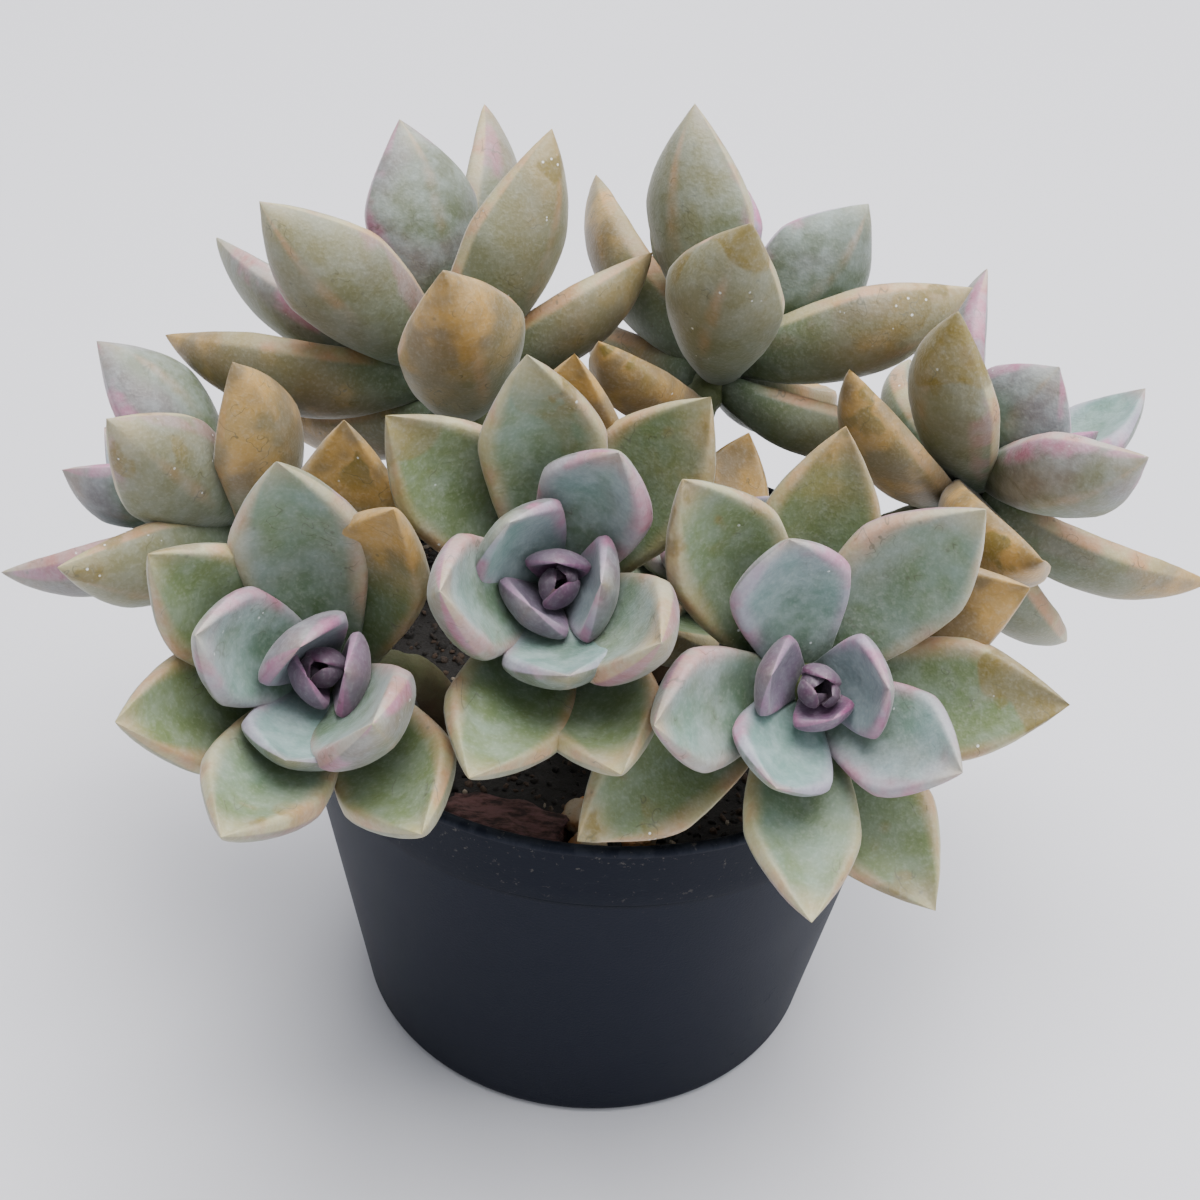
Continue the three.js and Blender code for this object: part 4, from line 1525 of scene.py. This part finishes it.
@dataclass
class Mix:
    """The growing mix: a dark filling with a crumbly top."""

    level: float = 61.0
    wall_r: float = 46.7
    foot_r: float = 36.9
    foot_z: float = 3.8
    under_r: float = 35.7
    under_z: float = 2.1
    shoulder_z: float = 58.1
    rings: int = 44
    sides: int = 150
    density: float = 330000.0
    smallest: float = 0.35
    largest: float = 1.25

    def build(self) -> None:
        """Make the filling, roughen it and stand it for its node."""
        top = [(self.wall_r * (1 - s), self.level - 1.2 + 1.2 * min(1.0, s * 9) + 0.4 * s)
               for s in np.linspace(0.0, 1.0, self.rings)]
        profile = [(0.0, self.under_z), (self.under_r, self.under_z), (self.foot_r, self.foot_z),
                   (self.wall_r, self.shoulder_z), *top]
        base = lathe_mesh("mix_bed", profile, self.sides)
        tree = CrumbTree().build()
        inputs = {"Level": (self.level - 1.3) * MM, "Density": self.density,
                  "Smallest": self.smallest * MM, "Largest": self.largest * MM,
                  "Skin": MixFinish().material()}
        mesh = grown("mix_bed", base, tree, inputs)
        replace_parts(new_piece("mix_bed", mesh, MixFinish()), "growing_mix")


@dataclass
class Loose:
    """A rough lump lying on the mix."""

    node: str
    at: tuple[float, float]
    half: tuple[float, float, float]
    turn: float
    index: int
    bark: bool = False
    cuts: int = 15
    rounds: int = 4
    swell: float = 1.15

    def block(self) -> bmesh.types.BMesh:
        """The plain shape to start from.

        Returns:
            A cut-up cube for bark, else a ball.
        """
        form = bmesh.new()
        if self.bark:
            bmesh.ops.create_cube(form, size=2.0)
            bmesh.ops.subdivide_edges(form, edges=form.edges[:], cuts=self.cuts, use_grid_fill=True)
        else:
            bmesh.ops.create_icosphere(form, subdivisions=self.rounds, radius=self.swell)
        return form

    def roughened(self, at: Vector) -> Vector:
        """Where a point of the plain shape goes.

        Args:
            at: The point.

        Returns:
            The place on the lump, in millimetres.
        """
        x, y, z = at
        wave = math.sin(5.1 * x + 3.7 * y + self.index) * math.cos(4.3 * z - 2.9 * x + 2 * self.index)
        rough = 1 + 0.12 * wave - (0.1 * abs(x) if self.bark else 0.0)
        spot = Vector((x * (1 + 0.05 * wave) * self.half[0], y * rough * self.half[1],
                       z * rough * self.half[2]))
        stretch = Vector((0.25, 1.1, 1.6)) if self.bark else Vector((0.9, 0.9, 0.9))
        grain = noise.fractal(spot * stretch + Vector((self.index * 9.0, 0, 0)), 0.8, 2.1, 4)
        return spot * (1 + (0.05 if self.bark else 0.07) * (grain - 0.25))

    def build(self) -> None:
        """Shape the lump, lay it over its node and stand it for it."""
        form = self.block()
        for vert in form.verts:
            vert.co = self.roughened(vert.co) * MM
        bmesh.ops.rotate(form, verts=form.verts, matrix=Matrix.Rotation(math.radians(self.turn), 3, "Z"))
        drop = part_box(self.node)[0][2] - min(vert.co.z for vert in form.verts)
        bmesh.ops.translate(form, verts=form.verts, vec=(self.at[0] * MM, self.at[1] * MM, drop))
        mesh = smooth_mesh(self.node + "_fine", form)
        finish: Finish = BarkFinish() if self.bark else PebbleFinish()
        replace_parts(new_piece(self.node + "_fine", mesh, finish), self.node)


# Studio


@dataclass
class Studio:
    """Plain pale floor, soft light and the camera at the photo's angle."""

    eye: tuple[float, float, float] = (-0.0014, -0.2456, 0.2651)
    elevation: float = 37.6
    roll: float = 3.8
    lens: float = 60.0
    aim: tuple[float, float, float] = (0.0, 0.0, 0.07)
    reach: float = 3.0
    floor: Colour = (0.640, 0.638, 0.680)
    sky: Colour = (0.93, 0.96, 1.0)
    sky_strength: float = 0.68

    def camera(self) -> None:
        """Aim the camera as the photo was taken."""
        tilt, roll = math.radians(self.elevation), math.radians(self.roll)
        ahead = Vector((0.0, math.cos(tilt), -math.sin(tilt)))
        level = Vector((1.0, 0.0, 0.0))
        over = level.cross(ahead)
        right = math.cos(roll) * level + math.sin(roll) * over
        up = -math.sin(roll) * level + math.cos(roll) * over
        turn = Matrix((right, up, -ahead)).transposed().to_4x4()
        data = bpy.data.cameras.new("camera")
        data.lens = self.lens
        data.sensor_width = 36.0
        data.clip_start = 0.01
        data.clip_end = 20.0
        eye = put("camera", data)
        eye.matrix_world = Matrix.Translation(self.eye) @ turn
        bpy.context.scene.camera = eye

    def lights(self) -> None:
        """Wide soft lights and an even sky."""
        lamps = (
            ("key", (0.15, 0.05, 1.4), 1.1, 41.0, (1.0, 0.985, 0.97)),
            ("fill", (1.2, -0.5, 0.8), 1.2, 9.0, (0.95, 0.97, 1.0)),
            ("back", (0.2, 1.3, 1.1), 1.2, 15.0, (0.98, 0.98, 1.0)),
        )
        for name, spot, size, power, tint in lamps:
            data = bpy.data.lights.new(name, "AREA")
            data.shape = "SQUARE"
            data.size = size
            data.energy = power
            data.color = tint
            lamp = put(name, data)
            aim = Vector(self.aim) - Vector(spot)
            lamp.matrix_world = Matrix.Translation(spot) @ aim.to_track_quat("-Z", "Y").to_matrix().to_4x4()
        world = bpy.data.worlds.new("studio")
        world.use_nodes = True
        ground = world.node_tree.nodes["Background"]
        ground.inputs["Color"].default_value = (*self.sky, 1.0)
        ground.inputs["Strength"].default_value = self.sky_strength
        bpy.context.scene.world = world

    def ground(self) -> None:
        """A pale matte floor."""
        mesh = bpy.data.meshes.new("floor")
        r = self.reach
        mesh.from_pydata([(-r, -r, 0), (r, -r, 0), (r, r, 0), (-r, r, 0)], [], [(0, 1, 2, 3)])
        paper = bpy.data.materials.new("floor_paper")
        paper.use_nodes = True
        shader = paper.node_tree.nodes["Principled BSDF"]
        shader.inputs["Base Color"].default_value = (*self.floor, 1.0)
        shader.inputs["Roughness"].default_value = 0.75
        shader.inputs["Specular IOR Level"].default_value = 0.2
        mesh.materials.append(paper)
        put("floor", mesh)

    def build(self) -> None:
        """Camera, lights and floor."""
        self.camera()
        self.lights()
        self.ground()


def main() -> None:
    """Build the studio, the pot with its mix, and the plant."""
    logging.basicConfig(level=logging.INFO, format="%(name)s: %(message)s")
    Studio().build()
    Pot().build()
    Mix().build()
    pieces = (
        Loose(node="bark_chunk", at=(-13, -39.5), half=(8.5, 3.4, 2.4), turn=-12, index=0, bark=True),
        Loose(node="pebble_orange", at=(-1.5, -36), half=(3.2, 2.5, 2.2), turn=25, index=1),
        Loose(node="pebble_beige", at=(-0.5, -43), half=(3.0, 2.3, 2.0), turn=-40, index=2),
        Loose(node="pebble_tan", at=(6.5, -39), half=(2.4, 2.1, 1.7), turn=60, index=3),
        Loose(node="pebble_back", at=(-4, 4), half=(3.0, 2.6, 2.1), turn=10, index=4),
    )
    for piece in pieces:
        piece.build()
    Plant().build()


if __name__ == "__main__":
    main()
